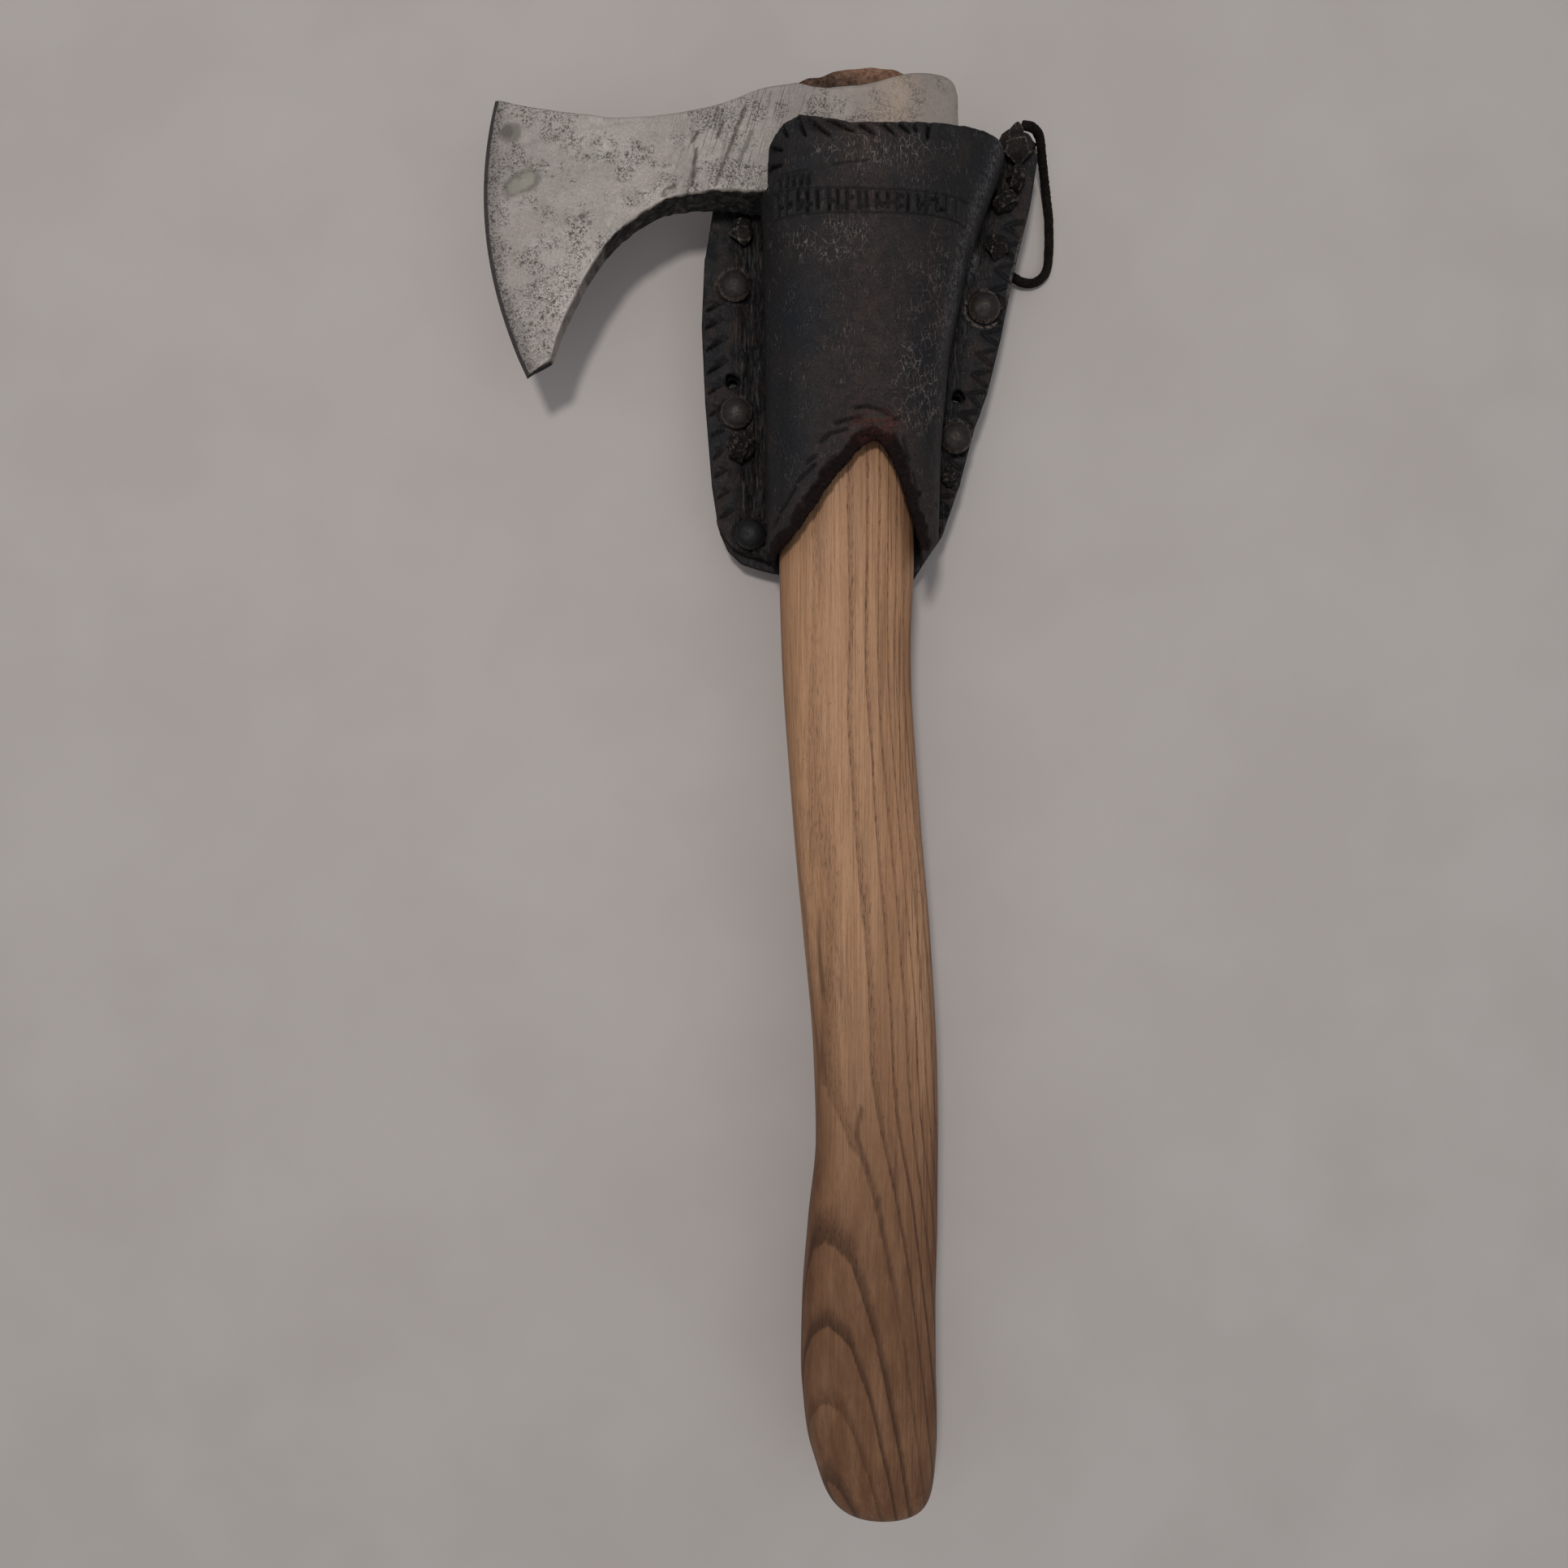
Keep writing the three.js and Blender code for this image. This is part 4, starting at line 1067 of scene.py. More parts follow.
def build_shim():
    """A sleeve of thin leather round the tenon, whose front spreads into a flat tongue above the eye."""
    angles = round_turn(200)
    front = step(-0.02, 0.3, np.sin(angles))
    flat_x, flat_z = 17.3 * np.cos(angles), EYE[1] * power(np.sin(angles), 0.18)
    top = np.interp(flat_x, *np.transpose(PROUD_TOP)) + 0.12 * np.sin(11 * angles)
    rings = []
    for inset, share in ((0.25, 0), (0.25, 0.9), (0.3, 1.0), (0.95, 1.0), (1.03, 0.9), (1.03, 0)):
        spread = front * step(0.9, 0.96, share)
        tongue_x = flat_x - 0.4 * inset * np.cos(angles)
        x = (EYE[0] - inset) * np.cos(angles) * (1 - spread) + tongue_x * spread
        z = (EYE[1] - inset) * np.sin(angles) * (1 - spread) + (flat_z - inset) * spread
        height = (427.6 + (top - 427.6) * front) if share == 1.0 else 397.4 + (431.4 - 397.4) * share
        rings.append(np.column_stack([x, np.broadcast_to(height, x.shape), AXE_Z + z]))
    shim = loft("leather_shim", rings, ring_loop=True)
    applied(shim, "SUBSURF", levels=1, render_levels=1)
    points = points_of(shim)
    swell(shim, 0.18 * noise(points, (4, 2.5, 4), 38) * step(429, 431, points[:, 1]))
    bare = step(-9, 3, points[:, 0] + 2.5 * noise(points, 4, 39))
    store(shim, "bared", bare * step(430, 432, points[:, 1]))
    return shade(shim)


finish_piece(build_shim(), "axe", "shim_leather", SHIM, "eye_shim")

# ---------------------------------------------------------------- holster outlines

OUTER_LEFT = [(-42, 404), (-45, 385), (-45.8, 366), (-44.7, 342), (-42.6, 316), (-40.6, 303)]
FLANGE_BOTTOM_LEFT = [(-39.4, 301.5), (-36.6, 297.5), (-31.7, 294.8), (-26.6, 293.6)]
OUTER_RIGHT = [
    (20.8, 287.2), (25, 293.8), (29.5, 300.3), (35, 316.6), (39.6, 334), (43.6, 345),
    (47.8, 362), (51.4, 380.6), (57, 403.4), (59.4, 418.5), (58.4, 423.4), (55.2, 426.3),
]
NOTCH = [
    (-22.8, 290.8), (-17, 295.3), (-12, 302), (-6.5, 310.3), (0, 318), (3.2, 321.2),
    (6.2, 322.4), (8.3, 321), (10.4, 318), (13.6, 311.2), (17, 301.6), (19.6, 294),
]
FRONT_TOP_EDGE = [
    (48.6, 426.2), (48.4, 413.4), (46.8, 414.6), (44, 414.8), (30, 413.9), (0, 413.6),
    (-15.5, 416.6), (-20.8, 414.7), (-24.4, 410.3), (-25.9, 404.4),
]
EMPTY_HOLES = [((-36.2, 349), 2.2), ((34.4, 344), 2.0)]
RIVET_DENT = 5.3  # radius of the groove that a dome has pressed round itself
RIVET_RING = 5.75  # radius of the rubbed ring outside that groove
RIVETS = {
    "left_upper": (-35.4, 378.3),
    "left_middle": (-34.9, 338.7),
    "left_lower": (-30.4, 301),
    "right_upper": (42.5, 371.5),
    "right_lower": (33.6, 330.9),
}
BELT_RIVETS = {
    "belt_upper_left": (-14, 395),
    "belt_upper_right": (8, 395),
    "belt_lower_left": (-14, 303),
    "belt_lower_right": (8, 303),
}

# ---------------------------------------------------------------- moulded front panel

FOOT_LEFT = [(285, -24.9), (390, -26.5), (400, -27.6)]
FOOT_RIGHT = [(285, 27.2), (301, 27.2), (326, 28), (353, 30.6), (384, 36.8), (407, 45.6), (414, 47.9)]
RIGHT_SHOULDER = [(320, 3.2), (407, 2.7)]
LEFT_SHOULDER = 4
ARCH_SHARE = 0.8
PANEL_SPAN = {"left": -60, "right": 75, "bottom": 282, "top": 434}
PANEL_VOXEL = 0.42


def between(rows, y):
    return np.interp(y, [row[0] for row in rows], [row[1] for row in rows])


def panel_points(across, y, side):
    """Points of the panel: across runs 0..1 from left to right, side is 0 inside and 1 outside."""
    flange = (1 - ARCH_SHARE) / 2
    inset = LEATHER * (1 - side)
    left, right = between(FOOT_LEFT, y) + inset, between(FOOT_RIGHT, y) - inset
    base = FLANGE_BOTTOM + LEATHER * side
    angle = math.pi * (1 - np.clip((across - flange) / ARCH_SHARE, 0, 1))
    exponent = 2 / np.where(angle > math.pi / 2, LEFT_SHOULDER, between(RIGHT_SHOULDER, y))
    middle, reach = (left + right) / 2, (right - left) / 2
    x = middle + reach * power(np.cos(angle), exponent)
    z = base + (CREST - FLANGE_BOTTOM) * np.abs(np.sin(angle)) ** exponent
    share = np.clip(across / flange, 0, 1)
    x = np.where(across < flange, PANEL_SPAN["left"] + (left - PANEL_SPAN["left"]) * share, x)
    share = np.clip((across - 1 + flange) / flange, 0, 1)
    x = np.where(across > 1 - flange, right + (PANEL_SPAN["right"] - right) * share, x)
    z = np.where((across < flange) | (across > 1 - flange), base, z)
    return np.column_stack([x, y, z])


NECK_LOW = 399  # lower end of the gap that the blade's neck leaves through
LEFT_END = 404.3  # top end of the left flange


def build_panel():
    columns, rows = 170, 60
    rings = []
    for y in np.linspace(PANEL_SPAN["bottom"], PANEL_SPAN["top"], rows):
        across = np.linspace(0, 1, columns)
        level = np.full(columns, y)
        outside = panel_points(across, level, 1)
        inside = panel_points(across[::-1], level, 0)
        rings.append(np.vstack([outside, inside]))
    panel = loft("moulded_panel", rings)
    outline = OUTER_LEFT + FLANGE_BOTTOM_LEFT + NOTCH + OUTER_RIGHT + FRONT_TOP_EDGE + [(-27, LEFT_END)]
    combine(panel, prism("outline_cutter", outline, 0, 80), "INTERSECT")
    neck = [(-70, NECK_LOW), (-15, NECK_LOW), (-15, 450), (-70, 450)]
    combine(panel, prism("neck_cutter", neck, FLANGE_TOP + GAP, UNDER_NECK), "DIFFERENCE")
    past_flange = [(-70, LEFT_END), (-15, LEFT_END), (-15, 450), (-70, 450)]
    combine(panel, prism("flange_cutter", past_flange, 0, UNDER_NECK), "DIFFERENCE")
    for at, radius in EMPTY_HOLES:
        combine(panel, punch(at, radius), "DIFFERENCE")
    remesh(panel, PANEL_VOXEL)
    relax(panel, 4)
    points = points_of(panel)
    # The wall meets the flange in a soft fold.
    foot = np.minimum(
        np.abs(points[:, 0] - between(FOOT_LEFT, points[:, 1])),
        np.abs(points[:, 0] - between(FOOT_RIGHT, points[:, 1])),
    )
    relax(panel, 24, 0.5, step(3.2, 1.0, foot) * step(24, 19, points[:, 2]))
    dress_panel(panel)
    return shade(panel, 75)


def punch(at, radius):
    """A slightly ragged cutter for a hole through the leather."""
    angles = round_turn(20)
    reach = radius * (1 + 0.12 * np.sin(3 * angles + at[0]))
    outline = np.column_stack([at[0] + reach * np.cos(angles), at[1] + reach * np.sin(angles)])
    return prism("punch", outline, 0, 30)


def strokes(points, lines, width):
    """Depth 0..1 of marks pressed along straight lines."""
    depth = np.zeros(len(points))
    for line in lines:
        line = np.asarray(line, float)
        low, high = line.min(axis=0) - 2 * width, line.max(axis=0) + 2 * width
        near = np.all((points[:, :2] > low) & (points[:, :2] < high), axis=1)
        depth[near] = np.maximum(depth[near], np.exp(-((distance_to_line(points[near], line) / width) ** 2)))
    return depth


def shingles(points, lines, wide=2.6):
    """Depth 0..1 of slanting cuts: deepest against the cut line, easing out on its lower left side."""
    depth = np.zeros(len(points))
    for start, end in np.asarray(lines, float):
        way = (end - start) / np.linalg.norm(end - start)
        across = np.array([way[1], -way[0]])
        along = (points[:, :2] - start) @ way / np.linalg.norm(end - start)
        aside = (points[:, :2] - start) @ across
        reach = wide * np.clip(1.1 - along, 0.15, 1.1)
        slope = np.clip(1 - aside / reach, 0, 1) * step(-0.25, 0.1, aside)
        depth = np.maximum(depth, slope * step(1.05, 0.85, along) * step(-0.6, -0.3, along))
    return depth


def along_line(corners, pitch, start=0.0, end=0.0):
    """Evenly spaced places on a line, each with the direction of the line there."""
    corners = np.asarray(corners, float)
    lengths = np.concatenate([[0], np.cumsum(np.linalg.norm(np.diff(corners, axis=0), axis=1))])
    for distance in np.arange(start, lengths[-1] - end, pitch):
        i = min(np.searchsorted(lengths, distance, "right") - 1, len(corners) - 2)
        way = (corners[i + 1] - corners[i]) / (lengths[i + 1] - lengths[i])
        yield corners[i] + way * (distance - lengths[i]), way


def edge_stamps(corners, inward, pitch=6.8, reach=4.4, start=4.0):
    """Open triangles stamped along the edge of a flange."""
    lines = []
    for at, way in along_line(corners, pitch, start, 4.0):
        side = np.array([-way[1], way[0]]) * inward
        tip = at + side * (1.6 + reach)
        for shift in (-0.36, 0.36):
            lines.append([at + side * 1.2 + way * shift * pitch, tip])
    return lines


def uneven_stamps(corners, inward, pitch=6.6, start=11.5):
    """The lower and the upper strokes of open triangles that were struck by hand, as two lists."""
    random = np.random.default_rng(5)
    lower, upper = [], []
    for at, way in along_line(corners, pitch, start, 4.0):
        side = np.array([-way[1], way[0]]) * inward
        at = at + way * random.uniform(-0.7, 0.7)
        tip = at + side * random.uniform(4.4, 5.8)
        lower.append([tip, at + side * 1.4 + way * random.uniform(1.6, 2.6)])
        upper.append([tip, at + side * 2.4 - way * random.uniform(0.9, 1.7)])
    return lower, upper


TOP_CUTS = [
    [(-15.4, 414.6), (-13.8, 410.1)], [(-11.5, 413.9), (-6.7, 409.7)],
    [(-5.5, 413.9), (0.5, 410.5)], [(0.9, 413.9), (6.2, 409.7)], [(8.2, 413.9), (12.2, 409.5)],
    [(12.6, 413.9), (16.2, 410.3)], [(17.4, 413.9), (18.2, 410.7)],
    [(22.3, 414), (21.4, 408.7)], [(-20.6, 414.4), (-19, 410.7)],
    [(-23.6, 409.4), (-20.6, 407.2)], [(-24.4, 404.2), (-20.8, 403)],
]
EDGE_DENTS = [(26.9, 411.2), (34.3, 412), (38.9, 413.4)]
SCRATCHES = [[(-22, 398.8), (-12.3, 399.2)], [(-21, 400), (-13.5, 400.3)], [(-6, 401.5), (4, 402.4)]]
BAND = {"bottom": 387.6, "top_left": 395.2, "top_right": 393.4, "left": -23, "right": 34, "pitch": 2.9}
TICKS = {"bottom": 395.9, "top": 398.4, "run": 11, "pitch": 2.1}  # short bars over the band's left end
LEFT_STAMPS = uneven_stamps(OUTER_LEFT[1:], 1)
NOTCH_CUTS = [
    [(0.6, 331.3), (3.9, 331.7), (7.8, 330.7), (10.1, 329.4)],
    [(-5.1, 326.9), (-1.9, 327.8), (1.5, 328.6)], [(-9.3, 321.8), (-6.6, 323.9), (-1.9, 325.1)],
    [(-13.4, 315.8), (-11.2, 317.4)], [(11.7, 328), (13.2, 328.6)],
    [(-16.3, 310.4), (-11.3, 314.9)], [(-21.4, 302.2), (-19.8, 304.1), (-17.1, 308.5)],
    [(-23.8, 298.4), (-21.9, 300.6)], [(14.6, 322.5), (16.4, 317)],
    [(17.6, 312.5), (19, 306.5)],
]


def band_marks():
    """A border of plain upright bars between two lines, with a few short strokes between the bars."""
    random = np.random.default_rng(8)
    low, left, right = BAND["bottom"], BAND["left"], BAND["right"]
    ends = [[(left, BAND["top_left"]), (right, BAND["top_right"])], [(left, low), (right, low - 0.4)]]
    bars = []
    for x in np.arange(left + 1, right - 1, BAND["pitch"]):
        x += random.uniform(-0.5, 0.5)
        high = np.interp(x, (left, right), (BAND["top_left"], BAND["top_right"]))
        foot = (x + random.uniform(-0.4, 0.4), low + random.uniform(0.3, 1.4))
        bars.append([foot, (x, high - random.uniform(0.2, 1.2))])
        for _ in range(random.integers(0, 3)):
            level = random.uniform(low + 1.2, high - 1.2)
            bars.append([(x, level), (x + random.uniform(0.9, 2.6), level + random.uniform(-0.9, 0.9))])
    for x in np.arange(left + 1.5, left + TICKS["run"], TICKS["pitch"]):
        foot = (x, TICKS["bottom"] + random.uniform(0, 0.6))
        bars.append([foot, (x + random.uniform(-0.3, 0.3), TICKS["top"])])
    return ends, bars


def hole_shade(points):
    """1 on the walls of the empty holes, where no light comes."""
    shades = [step(radius + 0.9, radius + 0.3, distance_to(points, at)) for at, radius in EMPTY_HOLES]
    return np.max(shades, axis=0)


def tool_marks():
    """Marks cut and pressed into the face of the panel: (lines, width, depth)."""
    band_ends, bars = band_marks()
    return [
        (TOP_CUTS, 0.35, 0.5),
        (SCRATCHES, 0.35, 0.3),
        (band_ends, 0.35, 0.4),
        (bars, 0.5, 0.95),
        (NOTCH_CUTS, 0.5, 0.8),
        (LEFT_STAMPS[0], 0.4, 0.55),
        (LEFT_STAMPS[1], 0.35, 0.3),
        (edge_stamps(OUTER_RIGHT[2:9], 1), 0.65, 0.85),
    ]


def pressed_marks(points, outside):
    """Tool marks in the face: how much painted shade each point gets and how deep it is, and its share of a
    slanting cut.
    """
    groove_shade, carved = np.zeros(len(points)), np.zeros(len(points))
    for lines, width, depth in tool_marks():
        pressed = strokes(points, lines, width) * outside
        groove_shade = np.maximum(groove_shade, pressed)
        carved = np.maximum(carved, pressed * depth)
    stamped = shingles(points, LEFT_STAMPS[0], 2.2) * (0.4 + 0.6 * step(335, 355, points[:, 1]))
    cuts = (shingles(points, TOP_CUTS) + stamped) * outside
    carved += 1.15 * cuts
    for at in EDGE_DENTS:
        carved += 0.5 * step(2.6, 1.6, distance_to(points, at)) * outside
    return groove_shade, carved, cuts


def worked_folds(points):
    """Long folds where the leather was worked down beside the haft, and the strips they lie in, where shade
    and highlight are painted.
    """
    x, y, z = points.T
    beside = np.abs(x - between(FOOT_LEFT, y) + 2.4)
    folds = step(-0.1, 0.5, fractal(points, (1.1, 9, 30), 41)) * step(6.4, 3.0, beside) * step(26, 18, z)
    right_side = np.abs(x - between(FOOT_RIGHT, y) - 1.8)
    right_folds = 0.8 * step(0.15, 0.75, noise(points, (1.4, 16, 30), 42))
    folds += right_folds * step(3.6, 1.4, right_side) * step(24, 18, z)
    crease_shading = step(8, 3, np.abs(x - between(FOOT_LEFT, y) + 3.5)) + 0.7 * step(4, 1.5, right_side)
    return folds, crease_shading


def panel_glint(points, ragged):
    """Pale rims where the leather has torn or rubbed: along the right edge and in a ring round each rivet."""
    y = points[:, 1]
    rim = distance_to_line(points, OUTER_RIGHT)
    torn = 0.45 * step(1.3, 0.5, rim + 0.4 * ragged) * step(372, 377, y) * step(396, 391, y)
    for k, (name, at) in enumerate(RIVETS.items()):
        strength = 0.85 if name == "right_upper" else 0.3
        ring = strength * step(0.6, 0.2, np.abs(distance_to(points, at) - RIVET_RING))
        torn = np.maximum(torn, ring * step(-0.2, 0.4, noise(points, 3.0, 80 + k)))
    return torn


def dress_panel(panel):
    """Gives the panel its marks, folds and lumps, and stores where it is raw, worn, cracked or dry, and where
    shade and highlights are painted.
    """
    points, normals = points_of(panel), normals_of(panel)
    x, y, z = points.T
    outside = step(0.15, 0.5, normals[:, 2])
    groove_shade, carved, cuts = pressed_marks(points, outside)
    folds, crease_shading = worked_folds(points)
    from_notch = distance_to_line(points, NOTCH)
    high = step(FLANGE_TOP + 1, FLANGE_TOP + 3, z)
    ragged = 1.4 * noise(points, 2.4, 43) + 0.4 * noise(points, 0.9, 44)
    raw = step(4.1, 2.4, from_notch + ragged) * np.clip(high + 0.4, 0, 1)
    inside = step(-0.2, -0.5, normals[:, 2]) * step(-28, -24, x)
    inside *= step(FLANGE_BOTTOM + 0.5, FLANGE_BOTTOM + 2, z)
    lumps = 0.26 * fractal(points, (11, 15, 11), 45) + 0.06 * noise(points, 2.0, 46)
    low = step(FLANGE_TOP + 3, FLANGE_TOP + 1, z)
    lumps += low * (0.45 * noise(points, (5, 7, 9), 50) + 0.34 * noise(points, 2.2, 58) - 0.15)
    in_band = step(BAND["bottom"] - 1.5, BAND["bottom"] + 0.5, y)
    in_band *= step(BAND["top_left"] + 1, BAND["top_left"] - 1, y)
    lumps += 0.14 * in_band * noise(points, (1.6, 1.6, 3), 59)
    lift = 0.5 * step(5.0, 1.2, from_notch) * high
    matted = 0.34 * raw * noise(points, 0.8, 47) + 0.3 * raw * noise(points, 1.9, 49)
    rivet_dents = np.zeros(len(points))
    for at in RIVETS.values():
        rivet_dents += np.exp(-(((distance_to(points, at) - RIVET_DENT) / 0.5) ** 2))
    depth = carved + 0.8 * folds + 0.5 * rivet_dents * outside
    swell(panel, outside * (lumps + lift) - depth + matted)
    # Painted shade in the marks, the cuts, the folds, round the rivets and in the holes.
    dark = groove_shade + 0.45 * cuts + 0.7 * folds + 0.8 * rivet_dents + hole_shade(points)
    store(panel, "groove_shade", np.clip(dark, 0, 1))
    store(panel, "raw", np.clip(raw + 0.85 * inside, 0, 1))
    # Strips where the folds get painted shade and painted highlights.
    store(panel, "crease_shading", crease_shading * low)
    torn_spots = step(-0.35, 0.25, noise(points, 1.5, 90) + 0.5 * step(6, 2, from_notch))
    store(panel, "rust", zone(points, (5.6, 325.2), 8.5, 6) * high * torn_spots)
    crown = step(38, 44, z) * step(22, -2, np.abs(x - 4))
    near_notch = step(14, 4, from_notch) * high
    flange_wear = 0.6 * low * step(-0.2, 0.6, fractal(points, (2.6, 4.5, 6), 91))
    store(panel, "worn", np.clip(0.7 * crown + 0.35 * near_notch + flange_wear, 0, 1))
    # A painted highlight along the ridge of the right shoulder, and a rubbed pale patch at its foot.
    shoulder = between(FOOT_RIGHT, y) - 3.6
    shoulder_highlight = np.exp(-(((x - shoulder) / 1.9) ** 2)) * step(26, 33, z) * step(330, 372, y)
    foot = zone(points, (38.8, 384.5), 2.6, 5)
    store(panel, "scuff_and_highlight", np.clip(0.75 * shoulder_highlight + 0.9 * foot, 0, 1))
    store(panel, "glint", panel_glint(points, ragged) * outside)
    cracked = zone(points, (-6, 379), 13, 6.5) + zone(points, (8, 406), 22, 5.5)
    cracked += zone(points, (19, 338), 9, 15) + 0.5 * zone(points, (24, 366), 8, 18)
    store(panel, "cracked", np.clip(cracked, 0, 1) * high)
    store(panel, "dry", np.clip(0.12 + 0.75 * cracked + 0.3 * crown, 0, 1) * (0.25 + 0.75 * high))


panel = build_panel()
finish_piece(panel, "holster", "holster_leather", BLACK, "front_panel")

# ---------------------------------------------------------------- flat leather


SHEET_VOXEL = 0.6


def leather_from(node, name, seed):
    """A CAD sheet remade with soft edges, and an uneven face."""
    piece = placed(name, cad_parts[node].data.copy())
    remesh(piece, SHEET_VOXEL)
    relax(piece, 3)
    points, face = points_of(piece), np.abs(normals_of(piece)[:, 2])
    uneven = 0.12 * fractal(points, (9, 13, 9), seed) + 0.05 * noise(points, 1.8, seed + 1)
    closed_up = 0.6 * hole_shade(points) * step(0.7, 0.3, face)
    swell(piece, np.minimum(uneven, 0.06) + closed_up)
    # Painted shade on the walls of the holes.
    store(piece, "groove_shade", hole_shade(points))
    store(piece, "raw", 0.75 * step(0.6, 0.25, face))
    store(piece, "worn", 0.3 * step(0.9, 0.6, face))
    store(piece, "dry", np.full(len(points), 0.35))
    return shade(piece, 75)


SHEETS = {
    "back_panel": ("back_sheet", 51, "holster_leather", BLACK),
    "left_welt": ("left_spacer", 53, "welt_leather", WELT),
    "right_welt": ("right_spacer", 55, "welt_leather", WELT),
    "belt_loop": ("belt_strap", 57, "holster_leather", BLACK),
}
for node, (name, seed, slot, leather) in SHEETS.items():
    finish_piece(leather_from(node, name, seed), "holster", slot, leather, node)

# ---------------------------------------------------------------- rivets

# Radii of the head, post and burr, how high the head rises, and how far the post stands out of the burr.
RIVET = {"head": 4.95, "rise": 2.8, "post": 1.5, "burr": 4.1, "burr_thick": 1.1, "proud": 0.4}
BELT_RIVET = {"head": 3.9, "rise": 0.6, "post": 1.4, "burr": 3.6, "burr_thick": 0.8, "proud": 0.3}


def build_rivet(name, at, size, base, foot):
    """A dome on a rolled rim, with its post peened over at the far end."""
    head, rise, post = size["head"], size["rise"], size["post"]
    shares = np.linspace(0, 1, 14)
    dome = [
        (0.95 * head * math.cos(a), base + 0.28 * rise + 0.72 * rise * math.sin(a))
        for a in shares * math.pi / 2
    ]
    rim = [(0.90 * head, base), (head, base + 0.07 * rise), (head, base + 0.2 * rise)]
    tip = [(0, foot), (0.8 * post, foot), (1.15 * post, foot + 0.25), (post, foot + 0.6), (post, base)]
    rivet = lathe(name, tip + rim + dome[:-1] + [(0, base + rise)], at, 56)
    points, normals = points_of(rivet), normals_of(rivet)
    swell(rivet, 0.07 * noise(points, 2.2, 61) * step(base, base + 0.3, points[:, 2]))
    reach = distance_to(points, at) / head
    # The crown is worn bright and carries a painted highlight; the rim is rubbed.
    crown, edge = step(0.42, 0.0, reach), step(0.84, 0.93, reach)
    store(rivet, "rubbed", np.clip(0.5 * crown + 0.9 * edge, 0, 1) * step(0.0, 0.2, normals[:, 2]))
    return shade(rivet, 50)


def build_burr(name, at, size, top):
    """The washer that the post is peened over."""
    bore, radius, bottom = size["post"] + 0.3, size["burr"], top - size["burr_thick"]
    bevel = 0.25
    profile = [
        (bore, bottom),
        (radius - bevel, bottom),
        (radius, bottom + bevel),
        (radius, top - bevel),
        (radius - bevel, top),
        (bore, top),
    ]
    burr = lathe(name, profile, at, 40)
    points = points_of(burr)
    store(burr, "rubbed", step(0.8, 0.95, distance_to(points, at) / radius))
    return shade(burr, 40)


def fasten(places, size, kind, base, burr_top):
    """A rivet with its burr at each place."""
    foot = burr_top - size["burr_thick"] - size["proud"]
    for name, at in places.items():
        metal = BLACKENED if name == "left_lower" else GUNMETAL
        rivet = build_rivet(f"{name}_{kind}", at, size, base, foot)
        finish_piece(rivet, "holster", "rivet_steel", metal, f"{name}_rivet")
        burr = build_burr(f"{name}_washer", at, size, burr_top)
        finish_piece(burr, "holster", "rivet_steel", GUNMETAL, f"{name}_burr")


fasten(RIVETS, RIVET, "dome", FLANGE_TOP + GAP, BACK_BOTTOM - GAP)
fasten(BELT_RIVETS, BELT_RIVET, "stud", BACK_TOP + GAP, BACK_BOTTOM - GAP - LEATHER - GAP)

# ---------------------------------------------------------------- knots and thongs

# Place, half width and half length, height, direction of the upper wrap in degrees, lowest point of the stem.
KNOTS = {
    "left_upper_knot": ((-33.4, 394.6), (4.0, 4.7), 4.8, 20, BACK_BOTTOM),
    "left_lower_knot": ((-33.2, 327.9), (5.2, 4.8), 4.6, 65, BACK_BOTTOM),
    "right_top_knot": ((51.2, 420.6), (6.2, 5.6), 7, -60, BACK_BOTTOM),
    "right_second_knot": ((52.4, 411.4), (3.4, 4.1), 5.2, 75, BACK_BOTTOM),
    "right_third_knot": ((48.6, 404), (4.2, 3.9), 4.4, 30, BACK_BOTTOM),
    "right_middle_knot": ((46.3, 390.5), (4.2, 4.4), 3.6, -40, 3.4),
    "right_lower_knot": ((31.4, 318.4), (2.7, 3.8), 2.6, 5, BACK_BOTTOM),
}
STEM = 1.4
# Loose end and loop that stick out of the top knot.
TOP_TAIL = [(50, 423.2, 18.4), (51.2, 424.8, 18.6), (52.2, 426, 18.6), (53.3, 426.9, 18.6)]
TOP_BIGHT = [(53, 423.4, 18.4), (55.4, 423.6, 17.4), (57.6, 422, 14.6)]
# The knots folded into a lump with flat facets, each with its seed.
FACETED = {"right_top_knot": 19, "left_upper_knot": 4, "right_middle_knot": 7}


def wrap(centre, half, rise, turn, low, high, width):
    """A pass of thong over a knot, from angle low to angle high round its side, in degrees."""
    angles = np.radians(np.linspace(low, high, 26))
    c, s = math.cos(math.radians(turn)), math.sin(math.radians(turn))
    out = np.column_stack([np.cos(angles) * c, np.cos(angles) * s, np.sin(angles)])
    size = np.array([half[0], half[1], rise])
    return ribbon("wrap", centre + out * size, out, width, 1.5)


def faceted(at, base, half, rise, seed, count=10):
    """A lump of folded thong with flat facets: the hull of uneven points round a dome."""
    random = np.random.default_rng(seed)
    lump = bmesh.new()
    for k in range(count):
        lift = (k + 0.5) / count
        turn = 2.4 * k + random.uniform(-0.3, 0.3)
        reach = math.sqrt(1 - lift**2) * random.uniform(0.98, 1.16)
        x, y = at[0] + half[0] * reach * math.cos(turn), at[1] + half[1] * reach * math.sin(turn)
        lump.verts.new(in_frame((x, y, base + rise * lift * random.uniform(0.9, 1.0))))
    hull = bmesh.ops.convex_hull(lump, input=lump.verts)
    inner = [v for v in hull["geom_interior"] if isinstance(v, bmesh.types.BMVert)]
    bmesh.ops.delete(lump, geom=inner, context="VERTS")
    mesh = bpy.data.meshes.new("lump")
    lump.to_mesh(mesh)
    lump.free()
    return placed("lump", mesh)


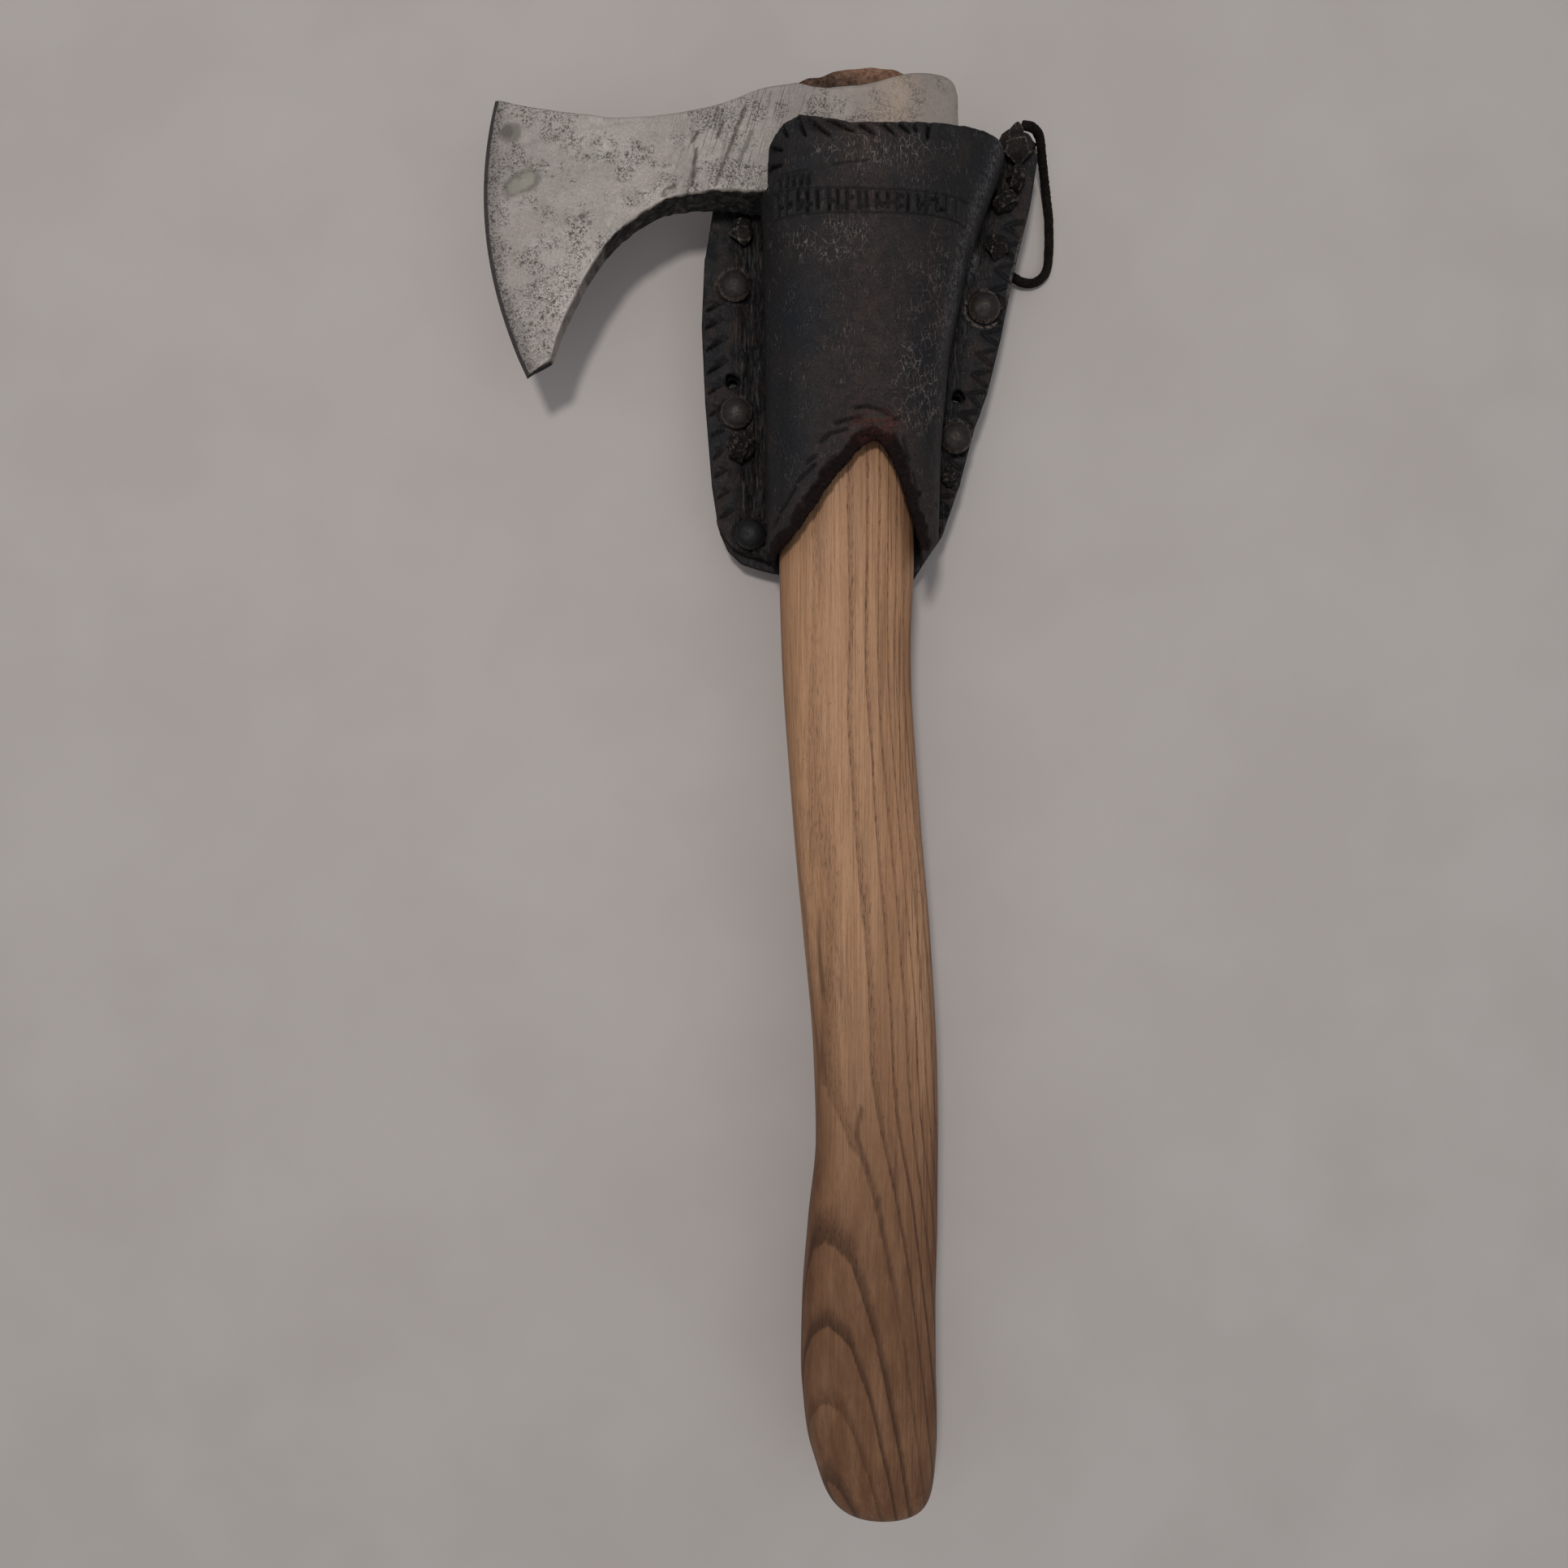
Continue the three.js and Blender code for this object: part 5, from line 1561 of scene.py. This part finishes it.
def build_knot(name, at, half, rise, turn, foot, seed):
    base = FLANGE_TOP + GAP
    centre = np.array([at[0], at[1], base + 0.2 * rise])
    inner, low_rise = np.array(half) - 0.75, 0.8 * rise - 0.75
    if name in FACETED:
        inner, low_rise = 0.6 * inner, 0.6 * low_rise
    rings = []
    for lift in np.linspace(-1, 1, 16)[1:-1]:
        angles = round_turn(28)
        reach = math.sqrt(1 - lift**2)
        z = centre[2] + lift * (low_rise if lift > 0 else 0.2 * rise)
        x, y = inner[0] * reach * np.cos(angles), inner[1] * reach * np.sin(angles)
        rings.append(np.column_stack([at[0] + x, at[1] + y, np.full(28, z)]))
    body = [loft(name, rings)]
    stem = [(at[0], at[1], z) for z in np.linspace(foot, base + 1, 6)]
    body.append(tube("stem", stem, STEM, 16))
    width = 1.05 * min(half)
    if name in FACETED:
        body.append(faceted(at, base - 0.3, half, rise, FACETED[name]))
    else:
        body.append(wrap(centre, inner, low_rise, turn, -8, 188, width))
        body.append(wrap(centre, inner * 0.93, low_rise * 0.86, turn + 82, -5, 120, width * 0.9))
    if name == "right_top_knot":
        body.append(tube("tail", curve_through(TOP_TAIL, 6), 1.7, 14))
        body.append(tube("bight", curve_through(TOP_BIGHT, 6), 1.5, 14))
    knot = join(body)
    knot.name = name + "_wraps"
    remesh(knot, 0.3)
    relax(knot, 1)
    points = points_of(knot)
    above = step(FLANGE_TOP, FLANGE_TOP + 0.6, points[:, 2])
    uneven = 0.3 * noise(points, 1.9, seed) + 0.12 * noise(points, 0.8, seed + 1)
    swell(knot, above * uneven * (0.45 if name in FACETED else 1))
    settle(knot, base - 0.1)
    points = points_of(knot)
    # Painted highlights on the ridges that stand out of the knots.
    rim_highlights = step(0.009, 0.026, ridges(knot)) * step(base + 0.8, base + 2, points[:, 2])
    store(knot, "rim_highlights", rim_highlights * (0.9 if name in FACETED else 0.45))
    return shade(knot, 80)


def settle(piece, level):
    """Presses what spreads out below the level up against it, the stem left out."""
    points = points_of(piece)
    centre = points[points[:, 2] < FLANGE_BOTTOM].mean(axis=0)
    wide = distance_to(points, centre) > STEM + 0.35
    points[wide, 2] = np.maximum(points[wide, 2], level)
    move_points(piece, points)


for seed, (name, (at, half, rise, turn, foot)) in enumerate(KNOTS.items()):
    knot = build_knot(name, at, half, rise, turn, foot, 70 + 3 * seed)
    suede = TOP_THONG if name in ("right_top_knot", "left_upper_knot") else THONG
    finish_piece(knot, "holster", "thong_leather", suede, name)

THONGS = {
    "left_thong": [KNOTS["left_upper_knot"][0], (-29, 380), (-28.5, 341), KNOTS["left_lower_knot"][0]],
    "right_thong": [
        KNOTS["right_third_knot"][0],
        (41.5, 394),
        (36, 371),
        (26.6, 331),
        KNOTS["right_lower_knot"][0],
    ],
}
THONG_WIDTH, THONG_THICK = 3.2, 1.4
THONG_LEVEL = BACK_BOTTOM - GAP - THONG_THICK / 2 - 0.05
for name, route in THONGS.items():
    path = curve_through([(*at, THONG_LEVEL) for at in route], 16)
    strap = ribbon(name + "_strap", path, np.tile([0.0, 0.0, 1.0], (len(path), 1)), THONG_WIDTH, THONG_THICK)
    finish_piece(shade(strap, 60), "holster", "thong_leather", THONG, name)

# ---------------------------------------------------------------- floor and light

FLOOR_SIZE = 6.0  # metres
LIGHTS_AIM = (0, 0.02, 0)  # metres
ROOM_LIGHT = 0.42


def floor_material():
    s = Shader("pale_floor", roughness=0.6, specular=0.3)
    s.colour = s.mix(s.step(s.noise(60.0, 3), 0.3, 0.7), (0.45, 0.405, 0.38), (0.48, 0.435, 0.41))
    return s.finish()


reach = FLOOR_SIZE / 2 / MM
corners = [(-reach, -reach, 0), (reach, -reach, 0), (reach, reach, 0), (-reach, reach, 0)]
floor = mesh_object("floor", corners, [(0, 1, 2, 3)])
floor.data.materials.append(floor_material())


def area_light(name, at, size, power_w, colour):
    data = bpy.data.lights.new(name, "AREA")
    data.shape = "DISK"
    data.size, data.energy, data.color = size, power_w, colour
    lamp = placed(name, data)
    lamp.location = at
    aim = Vector(LIGHTS_AIM) - lamp.location
    lamp.rotation_euler = aim.to_track_quat("-Z", "Y").to_euler()


area_light("window", at=(-0.15, 0.28, 1.31), size=0.17, power_w=6.5, colour=(1.0, 0.97, 0.94))
area_light("room", at=(1.1, -0.2, 1.2), size=1.0, power_w=1.6, colour=(0.85, 0.92, 1.0))

world = bpy.data.worlds.new("studio")
world.use_nodes = True
world.node_tree.nodes["Background"].inputs["Color"].default_value = (0.92, 0.95, 1.0, 1)
world.node_tree.nodes["Background"].inputs["Strength"].default_value = ROOM_LIGHT
bpy.context.scene.world = world
bpy.context.scene.view_settings.view_transform = "Standard"
